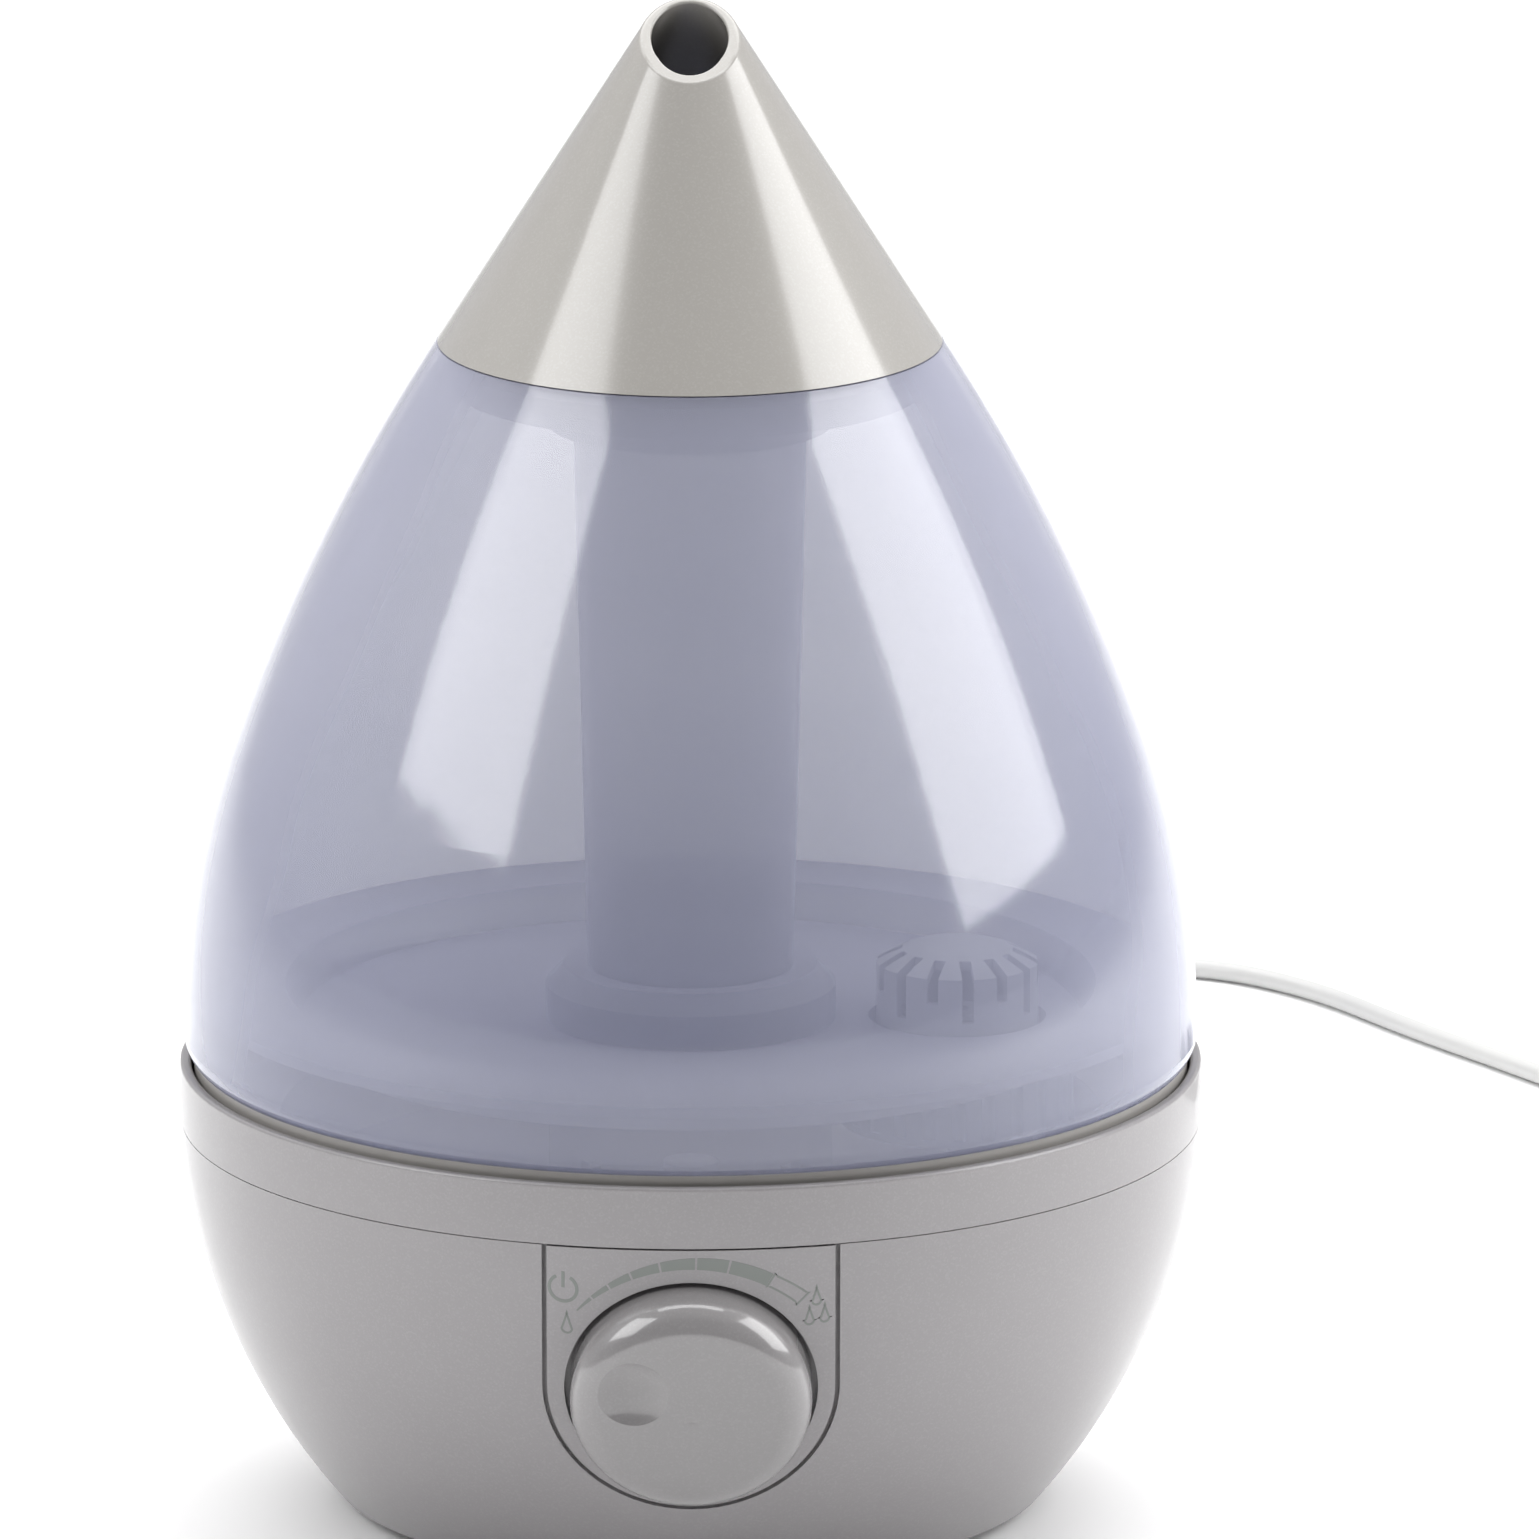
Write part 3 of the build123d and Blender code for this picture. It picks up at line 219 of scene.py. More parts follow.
class Effects:
    """Builds each shared effect once and places it in materials."""

    def __init__(self) -> None:
        """Starts with no group built."""
        self.groups: dict[Effect, Tree] = {}
        self.makers: dict[Effect, Callable[[], Tree]] = {
            Effect.GRAIN: self.make_grain, Effect.MOTTLE: self.make_mottle,
            Effect.FLAKE: self.make_flake, Effect.DUST: self.make_dust,
            Effect.RINGS: self.make_rings,
        }

    def start(self, effect: Effect, output: str, colours: Sequence[str] = (),
              **numbers: float) -> tuple[Wiring, bpy.types.NodeOutputs, Node]:
        """Makes an empty group whose pattern is read at its Place input.

        Args:
            effect: The effect that the group is for.
            output: Name of its output, a colour where a colour input has the same name.
            colours: Names of its colour inputs.
            numbers: Default of each number input, by name.

        Returns:
            The group's wiring, its inputs by name and its output node.
        """
        tree = bpy.data.node_groups.new(effect.value, "ShaderNodeTree")
        sockets = tree.interface
        sockets.new_socket(name="Place", in_out="INPUT", socket_type="NodeSocketVector")
        for name in colours:
            sockets.new_socket(name=name, in_out="INPUT", socket_type="NodeSocketColor")
        for name, default in numbers.items():
            socket = sockets.new_socket(name=name, in_out="INPUT", socket_type="NodeSocketFloat")
            socket.default_value = default
        kind = "NodeSocketColor" if output in colours else "NodeSocketFloat"
        sockets.new_socket(name=output, in_out="OUTPUT", socket_type=kind)
        wiring = Wiring(tree)
        return wiring, wiring.add("NodeGroupInput").outputs, wiring.add("NodeGroupOutput")

    def make_grain(self) -> Tree:
        """Height of a fine moulded grain over a slow waviness."""
        wiring, given, made = self.start(Effect.GRAIN, "Height", Scale=1500.0, Wave=12.0,
                                         Share=0.5)
        fine = wiring.noise(given["Place"], given["Scale"], 2.0)
        slow = wiring.noise(given["Place"], given["Wave"], 1.0)
        waves = wiring.maths("MULTIPLY", slow, given["Share"])
        grain = wiring.maths("MULTIPLY", fine, wiring.maths("SUBTRACT", 1.0, given["Share"]))
        wiring.fill(made, Height=wiring.maths("ADD", waves, grain))
        return wiring.tree

    def make_mottle(self) -> Tree:
        """Base colour that drifts towards a second shade in soft patches."""
        wiring, given, made = self.start(Effect.MOTTLE, "Colour", ("Colour", "Shade"), Scale=14.0)
        share = wiring.ramp(wiring.noise(given["Place"], given["Scale"], 3.0), 0.35, 0.7)
        wiring.fill(made, Colour=wiring.blend(share, given["Colour"], given["Shade"]))
        return wiring.tree

    def make_flake(self) -> Tree:
        """Mask of tiny pearl flakes under the surface."""
        wiring, given, made = self.start(Effect.FLAKE, "Mask", Scale=2600.0, Amount=0.3)
        cells = wiring.add("ShaderNodeTexVoronoi", Vector=given["Place"], Scale=given["Scale"])
        bright = wiring.add("ShaderNodeSeparateColor", Color=cells.outputs["Color"])
        mask = wiring.ramp(bright.outputs[0], 0.6, 1.0)
        wiring.fill(made, Mask=wiring.maths("MULTIPLY", mask, given["Amount"]))
        return wiring.tree

    def make_dust(self) -> Tree:
        """Mask of light dust that settles on surfaces that face up."""
        wiring, given, made = self.start(Effect.DUST, "Mask", Scale=60.0, Amount=0.2)
        normal = wiring.add("ShaderNodeNewGeometry").outputs["Normal"]
        facing = wiring.add("ShaderNodeSeparateXYZ", Vector=normal)
        level = wiring.ramp(facing.outputs["Z"], 0.3, 1.0)
        patchy = wiring.ramp(wiring.noise(given["Place"], given["Scale"], 4.0), 0.45, 0.75)
        mask = wiring.maths("MULTIPLY", level, patchy)
        wiring.fill(made, Mask=wiring.maths("MULTIPLY", mask, given["Amount"]))
        return wiring.tree

    def make_rings(self) -> Tree:
        """Height of fine turning marks round the vertical axis of Place."""
        wiring, given, made = self.start(Effect.RINGS, "Height", Scale=900.0)
        rings = wiring.add("ShaderNodeTexWave", {"wave_type": "RINGS", "rings_direction": "Z"},
                           Vector=given["Place"], Scale=given["Scale"], Distortion=0.6)
        wiring.fill(made, Height=rings.outputs["Fac"])
        return wiring.tree

    def place(self, wiring: Wiring, effect: Effect, **inputs: object) -> Socket:
        """Places an effect in a material.

        Args:
            wiring: The material's wiring.
            effect: Which effect.
            inputs: Values or sockets for the group's inputs.

        Returns:
            The group's output socket.
        """
        if effect not in self.groups:
            self.groups[effect] = self.makers[effect]()
        node = wiring.add("ShaderNodeGroup", {"node_tree": self.groups[effect]}, **inputs)
        return node.outputs[0]


EFFECTS = Effects()


def new_material(name: str) -> tuple[Material, Wiring, Node]:
    """Makes a material with one Principled shader.

    Args:
        name: The finish's name.

    Returns:
        The material, its wiring and its shader node.
    """
    material = bpy.data.materials.new(name)
    material.use_nodes = True
    shader = material.node_tree.nodes["Principled BSDF"]
    return material, Wiring(material.node_tree), shader


def object_place(wiring: Wiring, scale: Sequence[float] = (1, 1, 1)) -> Socket:
    """Object coordinates, stretched for a pattern.

    Args:
        wiring: The material's wiring.
        scale: Stretch of the pattern along each axis.

    Returns:
        The mapped vector's socket.
    """
    place = wiring.add("ShaderNodeTexCoord").outputs["Object"]
    return wiring.add("ShaderNodeMapping", Vector=place, Scale=scale).outputs[0]


@dataclass(frozen=True)
class MouldedFinish:
    """Moulded plastic with grain, soft colour patches, pearl flake and a trace of dust."""

    name: str
    colour: Colour
    shade: Colour
    roughness: float = 0.3
    coat: float = 0.0
    coat_roughness: float = 0.05
    flake: float = 0.0
    grain: float = 1600.0
    grain_depth: float = 0.004
    dust: float = 0.0
    specular: float = 0.5
    patches: float = 16.0
    waves: float = 22.0
    wave_share: float = 0.2
    bump: float = 0.35
    uneven: float = 35.0
    rough_spread: float = 0.25
    rough_base: float = 0.88
    flake_colour: Colour = (1.0, 1.0, 1.0)
    dust_colour: Colour = (0.72, 0.70, 0.66)
    dust_roughness: float = 0.4

    def make(self) -> Material:
        """Builds the material.

        Returns:
            The finished material.
        """
        material, wiring, shader = new_material(self.name)
        place = object_place(wiring)
        colour = EFFECTS.place(wiring, Effect.MOTTLE, Place=place, Scale=self.patches,
                               Colour=self.colour, Shade=self.shade)
        if self.flake:
            flakes = EFFECTS.place(wiring, Effect.FLAKE, Place=place, Amount=self.flake)
            colour = wiring.blend(flakes, colour, self.flake_colour)
        uneven = wiring.ramp(wiring.noise(place, self.uneven, 3.0), 0.0, 1.0)
        rough = wiring.scaled(uneven, self.rough_spread * self.roughness,
                              self.rough_base * self.roughness)
        if self.dust:
            dust = EFFECTS.place(wiring, Effect.DUST, Place=place, Amount=self.dust)
            colour = wiring.blend(dust, colour, self.dust_colour)
            rough = wiring.maths("ADD", rough, wiring.maths("MULTIPLY", dust, self.dust_roughness))
        height = EFFECTS.place(wiring, Effect.GRAIN, Place=place, Scale=self.grain,
                               Wave=self.waves, Share=self.wave_share)
        wiring.fill(shader, Base_Color=colour, Roughness=rough, Coat_Weight=self.coat,
                    Coat_Roughness=self.coat_roughness, Specular_IOR_Level=self.specular,
                    Normal=wiring.bump(height, self.bump, self.grain_depth))
        return material


@dataclass(frozen=True)
class MilkyFinish:
    """Tinted see-through plastic: milky, glossy, and a little denser, darker and bluer low down.
    """

    name: str
    colour: Colour
    low_colour: Colour
    alpha: float
    low_alpha: float
    low: float
    high: float
    roughness: float = 0.08
    coat: float = 1.0
    coat_roughness: float = 0.08
    coat_ior: float = 1.75
    limb: float = 0.66
    limb_power: float = 2.5
    limb_shine: float = 0.25
    most_alpha: float = 0.96
    clouds: float = 9.0
    cloud_colour: Colour = (0.8, 0.8, 0.86)
    cloud_share: float = 0.12
    cloud_alpha: float = 0.03
    cloud_roughness: float = 0.05
    grain: float = 90.0
    grain_depth: float = 0.004
    waves: float = 7.0
    wave_share: float = 0.8
    bump: float = 0.2

    def make(self) -> Material:
        """Builds the material.

        Returns:
            The finished material.
        """
        material, wiring, shader = new_material(self.name)
        place = object_place(wiring)
        height = wiring.add("ShaderNodeSeparateXYZ", Vector=place).outputs["Z"]
        up = wiring.ramp(height, self.low, self.high)
        haze = wiring.ramp(wiring.noise(place, self.clouds, 2.0), 0.3, 0.7)
        # The colour runs darker and bluer towards the bottom.
        colour = wiring.blend(up, self.low_colour, self.colour)
        cloudy = wiring.blend(wiring.maths("MULTIPLY", haze, self.cloud_share), colour,
                              self.cloud_colour)
        alpha = wiring.scaled(up, self.alpha - self.low_alpha, self.low_alpha)
        # The wall looks denser and shines less where it is seen edge on.
        edge_on = wiring.add("ShaderNodeLayerWeight", Blend=0.5).outputs["Facing"]
        limb = wiring.maths("POWER", edge_on, self.limb_power)
        denser = wiring.maths("MULTIPLY", limb, self.limb)
        uneven = wiring.maths("MULTIPLY", haze, self.cloud_alpha)
        milk = wiring.maths("ADD", alpha, wiring.maths("ADD", uneven, denser))
        dulling = wiring.maths("MULTIPLY", wiring.maths("POWER", edge_on, 2.0),
                               self.coat * (1.0 - self.limb_shine))
        grain = EFFECTS.place(wiring, Effect.GRAIN, Place=place, Scale=self.grain,
                              Wave=self.waves, Share=self.wave_share)
        wiring.fill(shader, Base_Color=cloudy,
                    Alpha=wiring.maths("MINIMUM", milk, self.most_alpha),
                    Roughness=wiring.scaled(haze, self.cloud_roughness, self.roughness),
                    Normal=wiring.bump(grain, self.bump, self.grain_depth),
                    Coat_Weight=wiring.maths("SUBTRACT", self.coat, dulling),
                    Coat_Roughness=self.coat_roughness, Coat_IOR=self.coat_ior)
        return material


@dataclass(frozen=True)
class MetalFinish:
    """Bare or plated metal with turning or rolling marks and patchy roughness."""

    name: str
    colour: Colour
    tarnish: Colour
    roughness: float = 0.3
    marks: float = 900.0
    mark_depth: float = 0.02
    mark_roughness: float = 0.12
    bump: float = 0.25
    patches: float = 180.0

    def make(self) -> Material:
        """Builds the material.

        Returns:
            The finished material.
        """
        material, wiring, shader = new_material(self.name)
        place = object_place(wiring)
        colour = EFFECTS.place(wiring, Effect.MOTTLE, Place=place, Scale=self.patches,
                               Colour=self.colour, Shade=self.tarnish)
        rings = EFFECTS.place(wiring, Effect.RINGS, Place=place, Scale=self.marks)
        wiring.fill(shader, Base_Color=colour, Metallic=1.0,
                    Roughness=wiring.scaled(rings, self.mark_roughness, self.roughness),
                    Normal=wiring.bump(rings, self.bump, self.mark_depth))
        return material


@dataclass(frozen=True)
class BandedFinish:
    """Wound copper wire or a stack of sheets: fine bands along one axis."""

    name: str
    colour: Colour
    gap: Colour
    pitch: float
    metallic: float
    roughness: float
    direction: Axis = Axis.Z
    depth: float = 0.1
    bump: float = 0.8

    def make(self) -> Material:
        """Builds the material.

        Returns:
            The finished material.
        """
        material, wiring, shader = new_material(self.name)
        bands = wiring.add(
            "ShaderNodeTexWave",
            {"wave_type": "BANDS", "bands_direction": self.direction.value},
            Vector=object_place(wiring), Scale=BAND_SPACING / (self.pitch * MM), Distortion=0.4,
        ).outputs["Fac"]
        groove = wiring.ramp(bands, 0.0, 0.45)
        wiring.fill(shader, Base_Color=wiring.blend(groove, self.gap, self.colour),
                    Normal=wiring.bump(bands, self.bump, self.depth),
                    Metallic=self.metallic, Roughness=self.roughness)
        return material


@dataclass(frozen=True)
class BoardFinish:
    """Circuit board: green varnish over copper tracks."""

    name: str = "board_laminate"
    varnish: Colour = (0.02, 0.16, 0.06)
    track: Colour = (0.07, 0.30, 0.12)
    track_scale: float = 110.0
    track_width: float = 0.045
    grain: float = 900.0
    grain_depth: float = 0.03
    bump: float = 0.3
    roughness: float = 0.35
    coat: float = 0.4

    def make(self) -> Material:
        """Builds the material.

        Returns:
            The finished material.
        """
        material, wiring, shader = new_material(self.name)
        place = object_place(wiring, scale=(1, 1, 0))
        tracks = wiring.add(
            "ShaderNodeTexBrick", {"offset": 0.37, "squash": 0.6, "squash_frequency": 3},
            Vector=place, Scale=self.track_scale, Color1=self.varnish, Color2=self.varnish,
            Mortar=self.track, Mortar_Size=self.track_width,
        )
        grain = EFFECTS.place(wiring, Effect.GRAIN, Place=place, Scale=self.grain)
        wiring.fill(shader, Base_Color=tracks.outputs["Color"], Roughness=self.roughness,
                    Normal=wiring.bump(grain, self.bump, self.grain_depth),
                    Coat_Weight=self.coat)
        return material


PEARL = MouldedFinish("pearl_plastic", (0.28, 0.268, 0.275), (0.271, 0.259, 0.266), 0.32, 0.42,
                      flake=0.03, dust=0.04)
KNOB_GLOSS = MouldedFinish("knob_gloss", (0.245, 0.236, 0.239), (0.236, 0.228, 0.23), 0.22, 1.0,
                           flake=0.02, grain_depth=0.002)
NOZZLE_PEARL = MouldedFinish("nozzle_pearl", (0.35, 0.335, 0.313), (0.341, 0.327, 0.305), 0.2, 0.9,
                             0.1, flake=0.03, grain_depth=0.002)
DECK_SATIN = MouldedFinish("deck_satin", (0.34, 0.325, 0.31), (0.32, 0.305, 0.29), 0.42,
                           grain_depth=0.01)
COVER_TEXTURE = MouldedFinish("cover_texture", (0.50, 0.49, 0.48), (0.47, 0.46, 0.45), 0.55,
                              grain=1100.0, grain_depth=0.03, dust=0.1)
TANK_MILKY = MilkyFinish("tank_milky", (0.37, 0.38, 0.495), (0.245, 0.26, 0.38), 0.40, 0.46,
                         0.098, 0.20)
# Pale milky inner plastic, lightened further as painted light for the dimly lit inside of the
# tank.
INNER_MILKY_PAINTED_LIGHT = MilkyFinish("inner_milky_painted_light", (0.78, 0.79, 0.88), (0.70, 0.71, 0.82), 0.32, 0.42,
                          0.098, 0.16, roughness=0.5, coat=0.0)
FILTER_WHITE = MouldedFinish("filter_white", (0.74, 0.75, 0.79), (0.70, 0.71, 0.75), 0.35)
FILLER_PLASTIC = MouldedFinish("filler_plastic", (0.50, 0.53, 0.62), (0.47, 0.50, 0.60), 0.38,
                               grain_depth=0.008)
RUBBER = MouldedFinish("foot_rubber", (0.025, 0.025, 0.026), (0.035, 0.035, 0.034), 0.75,
                       grain=700.0, grain_depth=0.05, dust=0.15, specular=0.3)
SILICONE = MouldedFinish("silicone", (0.74, 0.73, 0.70), (0.68, 0.67, 0.64), 0.5,
                         grain_depth=0.01)
FLOAT_FOAM = MouldedFinish("float_foam", (0.78, 0.78, 0.76), (0.70, 0.70, 0.68), 0.8,
                           grain=420.0, grain_depth=0.12)
FAN_BLACK = MouldedFinish("fan_plastic", (0.022, 0.022, 0.024), (0.03, 0.03, 0.032), 0.4,
                          grain_depth=0.015, dust=0.2)
PART_BLACK = MouldedFinish("part_plastic", (0.018, 0.018, 0.03), (0.03, 0.03, 0.04), 0.35)
LEAD_PVC = MouldedFinish("lead_pvc", (0.60, 0.60, 0.59), (0.55, 0.55, 0.55), 0.36, 0.15,
                         grain=2200.0, grain_depth=0.006)
INK = MouldedFinish("scale_ink", (0.185, 0.20, 0.188), (0.176, 0.192, 0.18), 0.38, 0.3)
ZINC = MetalFinish("zinc_screw", (0.62, 0.62, 0.63), (0.50, 0.49, 0.45), 0.32)
SATIN_METAL = MetalFinish("holder_metal", (0.62, 0.63, 0.64), (0.55, 0.56, 0.57), 0.34)
SINK_METAL = MetalFinish("sink_aluminium", (0.66, 0.67, 0.68), (0.58, 0.59, 0.60), 0.38, 2000.0)
DISC_METAL = MetalFinish("disc_plate", (0.70, 0.66, 0.58), (0.62, 0.57, 0.48), 0.22)
PIN_NICKEL = MetalFinish("pin_nickel", (0.78, 0.76, 0.70), (0.68, 0.65, 0.58), 0.16)
COPPER = BandedFinish("copper_winding", (0.70, 0.30, 0.12), (0.16, 0.05, 0.02), 0.5, 0.9, 0.3)
CORE_IRON = BandedFinish("core_sheets", (0.16, 0.16, 0.17), (0.05, 0.05, 0.05), 0.6, 0.6, 0.5,
                         Axis.X)
BOARD = BoardFinish()

Finish = MouldedFinish | MilkyFinish | MetalFinish | BandedFinish | BoardFinish
made_finishes: dict[str, Material] = {}


def material_of(finish: Finish) -> Material:
    """The finish's material, built the first time it is asked for."""
    if finish.name not in made_finishes:
        made_finishes[finish.name] = finish.make()
    return made_finishes[finish.name]


# ======================= Mesh helpers =======================
def add_object(name: str, data: bpy.types.ID) -> Piece:
    """Puts an object with the given name and data in the scene."""
    made = bpy.data.objects.new(name, data)
    bpy.context.scene.collection.objects.link(made)
    return made


def place_along(axis: Vector, origin: Vector) -> Matrix:
    """Matrix that takes +Z to an axis and the origin to a point.

    Args:
        axis: Direction that +Z turns to.
        origin: Point that the origin moves to.

    Returns:
        The placing matrix.
    """
    turn = UP.rotation_difference(axis.normalized())
    return Matrix.Translation(origin) @ turn.to_matrix().to_4x4()


class Blank:
    """One piece being modelled with bmesh operators, in metres in the frame."""

    def __init__(self, name: str) -> None:
        """Starts an empty mesh.

        Args:
            name: The piece's name.
        """
        self.name = name
        self.mesh = bmesh.new()

    def spin(self, profile: Sequence[Point], steps: int, place: Matrix) -> None:
        """Spins a (radius, height) profile about +Z.

        Args:
            profile: Points of the profile.
            steps: Number of steps in the full turn.
            place: Where the spun shape goes.
        """
        before = set(self.mesh.verts)
        points = [self.mesh.verts.new((r, 0.0, z)) for r, z in profile]
        edges = [self.mesh.edges.new(pair) for pair in zip(points, points[1:])]
        bmesh.ops.spin(self.mesh, geom=points + edges, cent=(0, 0, 0), axis=UP,
                       angle=2 * math.pi, steps=steps, use_merge=True)
        made = [v for v in self.mesh.verts if v not in before]
        poles = [v for v in made if v.co.xy.length < 1e-7]
        bmesh.ops.remove_doubles(self.mesh, verts=poles, dist=1e-6)
        made = [v for v in self.mesh.verts if v not in before]
        faces = {f for v in made for f in v.link_faces}
        bmesh.ops.recalc_face_normals(self.mesh, faces=list(faces))
        bmesh.ops.transform(self.mesh, matrix=place, verts=made)

    def slab(self, outline: Sequence[Point], low: float, high: float) -> None:
        """Extrudes a closed (x, y) outline from one height to another.

        Args:
            outline: Corners of the outline.
            low: Height of the underside.
            high: Height of the top.
        """
        corners = [self.mesh.verts.new((x, y, low)) for x, y in outline]
        face = self.mesh.faces.new(corners)
        made = bmesh.ops.extrude_face_region(self.mesh, geom=[face])["geom"]
        risen = [v for v in made if isinstance(v, Vert)]
        bmesh.ops.translate(self.mesh, vec=(0, 0, high - low), verts=risen)
        faces = {f for v in corners + risen for f in v.link_faces}
        bmesh.ops.recalc_face_normals(self.mesh, faces=list(faces))

    def bevel(self, edges: Sequence[bmesh.types.BMEdge], width: float, segments: int) -> None:
        """Bevels edges.

        Args:
            edges: The edges.
            width: Width of the bevel.
            segments: Number of segments across it.
        """
        bmesh.ops.bevel(self.mesh, geom=edges, offset=width, segments=segments, profile=0.5,
                        affect="EDGES", material=-1, clamp_overlap=True)

    def round_edges(self, width: float, segments: int, least: float = 30.0) -> None:
        """Bevels every edge that turns by more than an angle.

        Args:
            width: Width of the bevel.
            segments: Number of segments across it.
            least: Smallest turn in degrees that is bevelled.
        """
        sharp = [e for e in self.mesh.edges
                 if len(e.link_faces) == 2 and e.calc_face_angle() > math.radians(least)]
        self.bevel(sharp, width, segments)

    def join(self, first: Sequence[Vert],
             second: Sequence[Vert]) -> list[bmesh.types.BMFace]:
        """Joins two rings of as many corners with faces.

        Args:
            first: Corners of the first ring.
            second: Corners of the second ring.

        Returns:
            The new faces.
        """
        faces = []
        for corner in range(len(first)):
            ahead = (corner + 1) % len(first)
            faces.append(self.mesh.faces.new(
                (first[corner], first[ahead], second[ahead], second[corner])))
        return faces

    def finish(self, slot: Slot, finish: Finish, sharp: float = 35.0) -> Piece:
        """Turns the mesh into a smooth-shaded object that rides on the base.

        Args:
            slot: Not used.
            finish: The piece's finish.
            sharp: Edges that turn by more than this many degrees stay sharp.

        Returns:
            The new object.
        """
        data = bpy.data.meshes.new(self.name)
        self.mesh.to_mesh(data)
        self.mesh.free()
        data.shade_smooth()
        data.set_sharp_from_angle(angle=math.radians(sharp))
        data.materials.append(material_of(finish))
        piece = add_object(self.name, data)
        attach(piece, BASE)
        log.info("%s: %d faces on %s", self.name, len(data.polygons), BASE)
        return piece


# ======================= Studio =======================
@dataclass
class SoftBox:
    """One rectangular studio light that faces the object."""

    name: str
    turn: float
    rise: float
    distance: float
    width: float
    height: float
    radiance: float
    roll: float = 0.0

    def make(self, target: Vector) -> None:
        """Adds the light.

        Args:
            target: Point that the light faces.
        """
        turn, rise = math.radians(self.turn), math.radians(self.rise)
        away = Vector((math.sin(turn) * math.cos(rise), -math.cos(turn) * math.cos(rise),
                       math.sin(rise)))
        data = bpy.data.lights.new(self.name, "AREA")
        data.shape = "RECTANGLE"
        data.size, data.size_y = self.width, self.height
        data.energy = self.radiance * math.pi * self.width * self.height
        light = add_object(self.name, data)
        light.location = target + away * self.distance
        light.rotation_mode = "QUATERNION"
        spin = Quaternion(UP, math.radians(self.roll))
        light.rotation_quaternion = away.to_track_quat("Z", "Y") @ spin


@dataclass
class Studio:
    """Camera, plain floor, a pale room and soft lights."""

    camera_back: float = 4.0
    camera_height: float = 1.1623
    camera_dip: float = 14.08
    camera_yaw: float = 0.2414
    lens: float = 452.5
    sensor: float = 36.0
    clip: tuple[float, float] = (0.1, 60.0)
    floor_reach: float = 14.0
    floor_drop: float = 0.0002
    floor_colour: Colour = (0.96, 0.96, 0.96)
    floor_shade: Colour = (0.945, 0.945, 0.945)
    front_wall: Colour = (0.08, 0.08, 0.085)
    back_wall: Colour = (0.92, 0.92, 0.94)
    back_lamps: Colour = (1.6, 1.6, 1.6)
    ceiling: Colour = (1.0, 1.0, 1.0)
    front_turn: tuple[float, float] = (-0.75, 0.15)
    lamp_level: tuple[float, float] = (0.3, 0.5)
    ceiling_level: tuple[float, float] = (0.7, 1.0)
    room_strength: float = 0.6
    target: Vector = field(default_factory=lambda: Vector((0, 0, 0.17)))
    boxes: tuple[SoftBox, ...] = (
        SoftBox("left_softbox", -64, 34, 1.35, 0.84, 0.75, 4.2, roll=2),
        SoftBox("right_softbox", 84, 27, 1.35, 0.95, 0.96, 4.5),
        SoftBox("rear_softbox", 180, 62, 2.2, 3.0, 1.6, 2.55),
        SoftBox("top_softbox", 0, 88, 1.5, 1.4, 0.32, 4.0),
    )

    def make(self) -> None:
        """Builds the whole studio."""
        self.make_camera()
        self.make_floor()
        self.make_surroundings()
        for box in self.boxes:
            box.make(self.target)

    def make_camera(self) -> None:
        """Long-lens camera that looks down on the object from the front."""
        data = bpy.data.cameras.new("camera")
        data.lens = self.lens
        data.sensor_width = self.sensor
        data.clip_start, data.clip_end = self.clip
        camera = add_object("camera", data)
        camera.location = (0, -self.camera_back, self.camera_height)
        camera.rotation_euler = (math.radians(90 - self.camera_dip), 0,
                                 -math.radians(self.camera_yaw))
        bpy.context.scene.camera = camera

    def make_floor(self) -> None:
        """Plain pale floor just under the feet."""
        mesh = bmesh.new()
        bmesh.ops.create_grid(mesh, x_segments=1, y_segments=1, size=self.floor_reach)
        bmesh.ops.translate(mesh, vec=(0, 0, -self.floor_drop), verts=mesh.verts[:])
        data = bpy.data.meshes.new("floor")
        mesh.to_mesh(data)
        mesh.free()
        material, wiring, shader = new_material("floor_paint")
        patches = EFFECTS.place(wiring, Effect.MOTTLE, Place=object_place(wiring), Scale=0.7,
                                Colour=self.floor_colour, Shade=self.floor_shade)
        wiring.fill(shader, Base_Color=patches, Roughness=0.9, Specular_IOR_Level=0.1)
        data.materials.append(material)
        floor = add_object("floor", data)

    def make_surroundings(self) -> None:
        """Room with a dark front wall and lamps high on its back wall."""
        world = bpy.data.worlds.new("room")
        world.use_nodes = True
        bpy.context.scene.world = world
        wiring = Wiring(world.node_tree)
        direction = wiring.add("ShaderNodeTexCoord").outputs["Generated"]
        axes = wiring.add("ShaderNodeSeparateXYZ", Vector=direction).outputs
        rearward = wiring.ramp(axes["Y"], *self.front_turn)
        lamps = wiring.ramp(axes["Z"], *self.lamp_level)
        overhead = wiring.ramp(axes["Z"], *self.ceiling_level)
        behind = wiring.blend(lamps, self.back_wall, self.back_lamps)
        around = wiring.blend(rearward, self.front_wall, behind)
        wiring.fill(world.node_tree.nodes["Background"], Strength=self.room_strength,
                    Color=wiring.blend(overhead, around, self.ceiling))
        bpy.context.scene.view_settings.view_transform = "Standard"


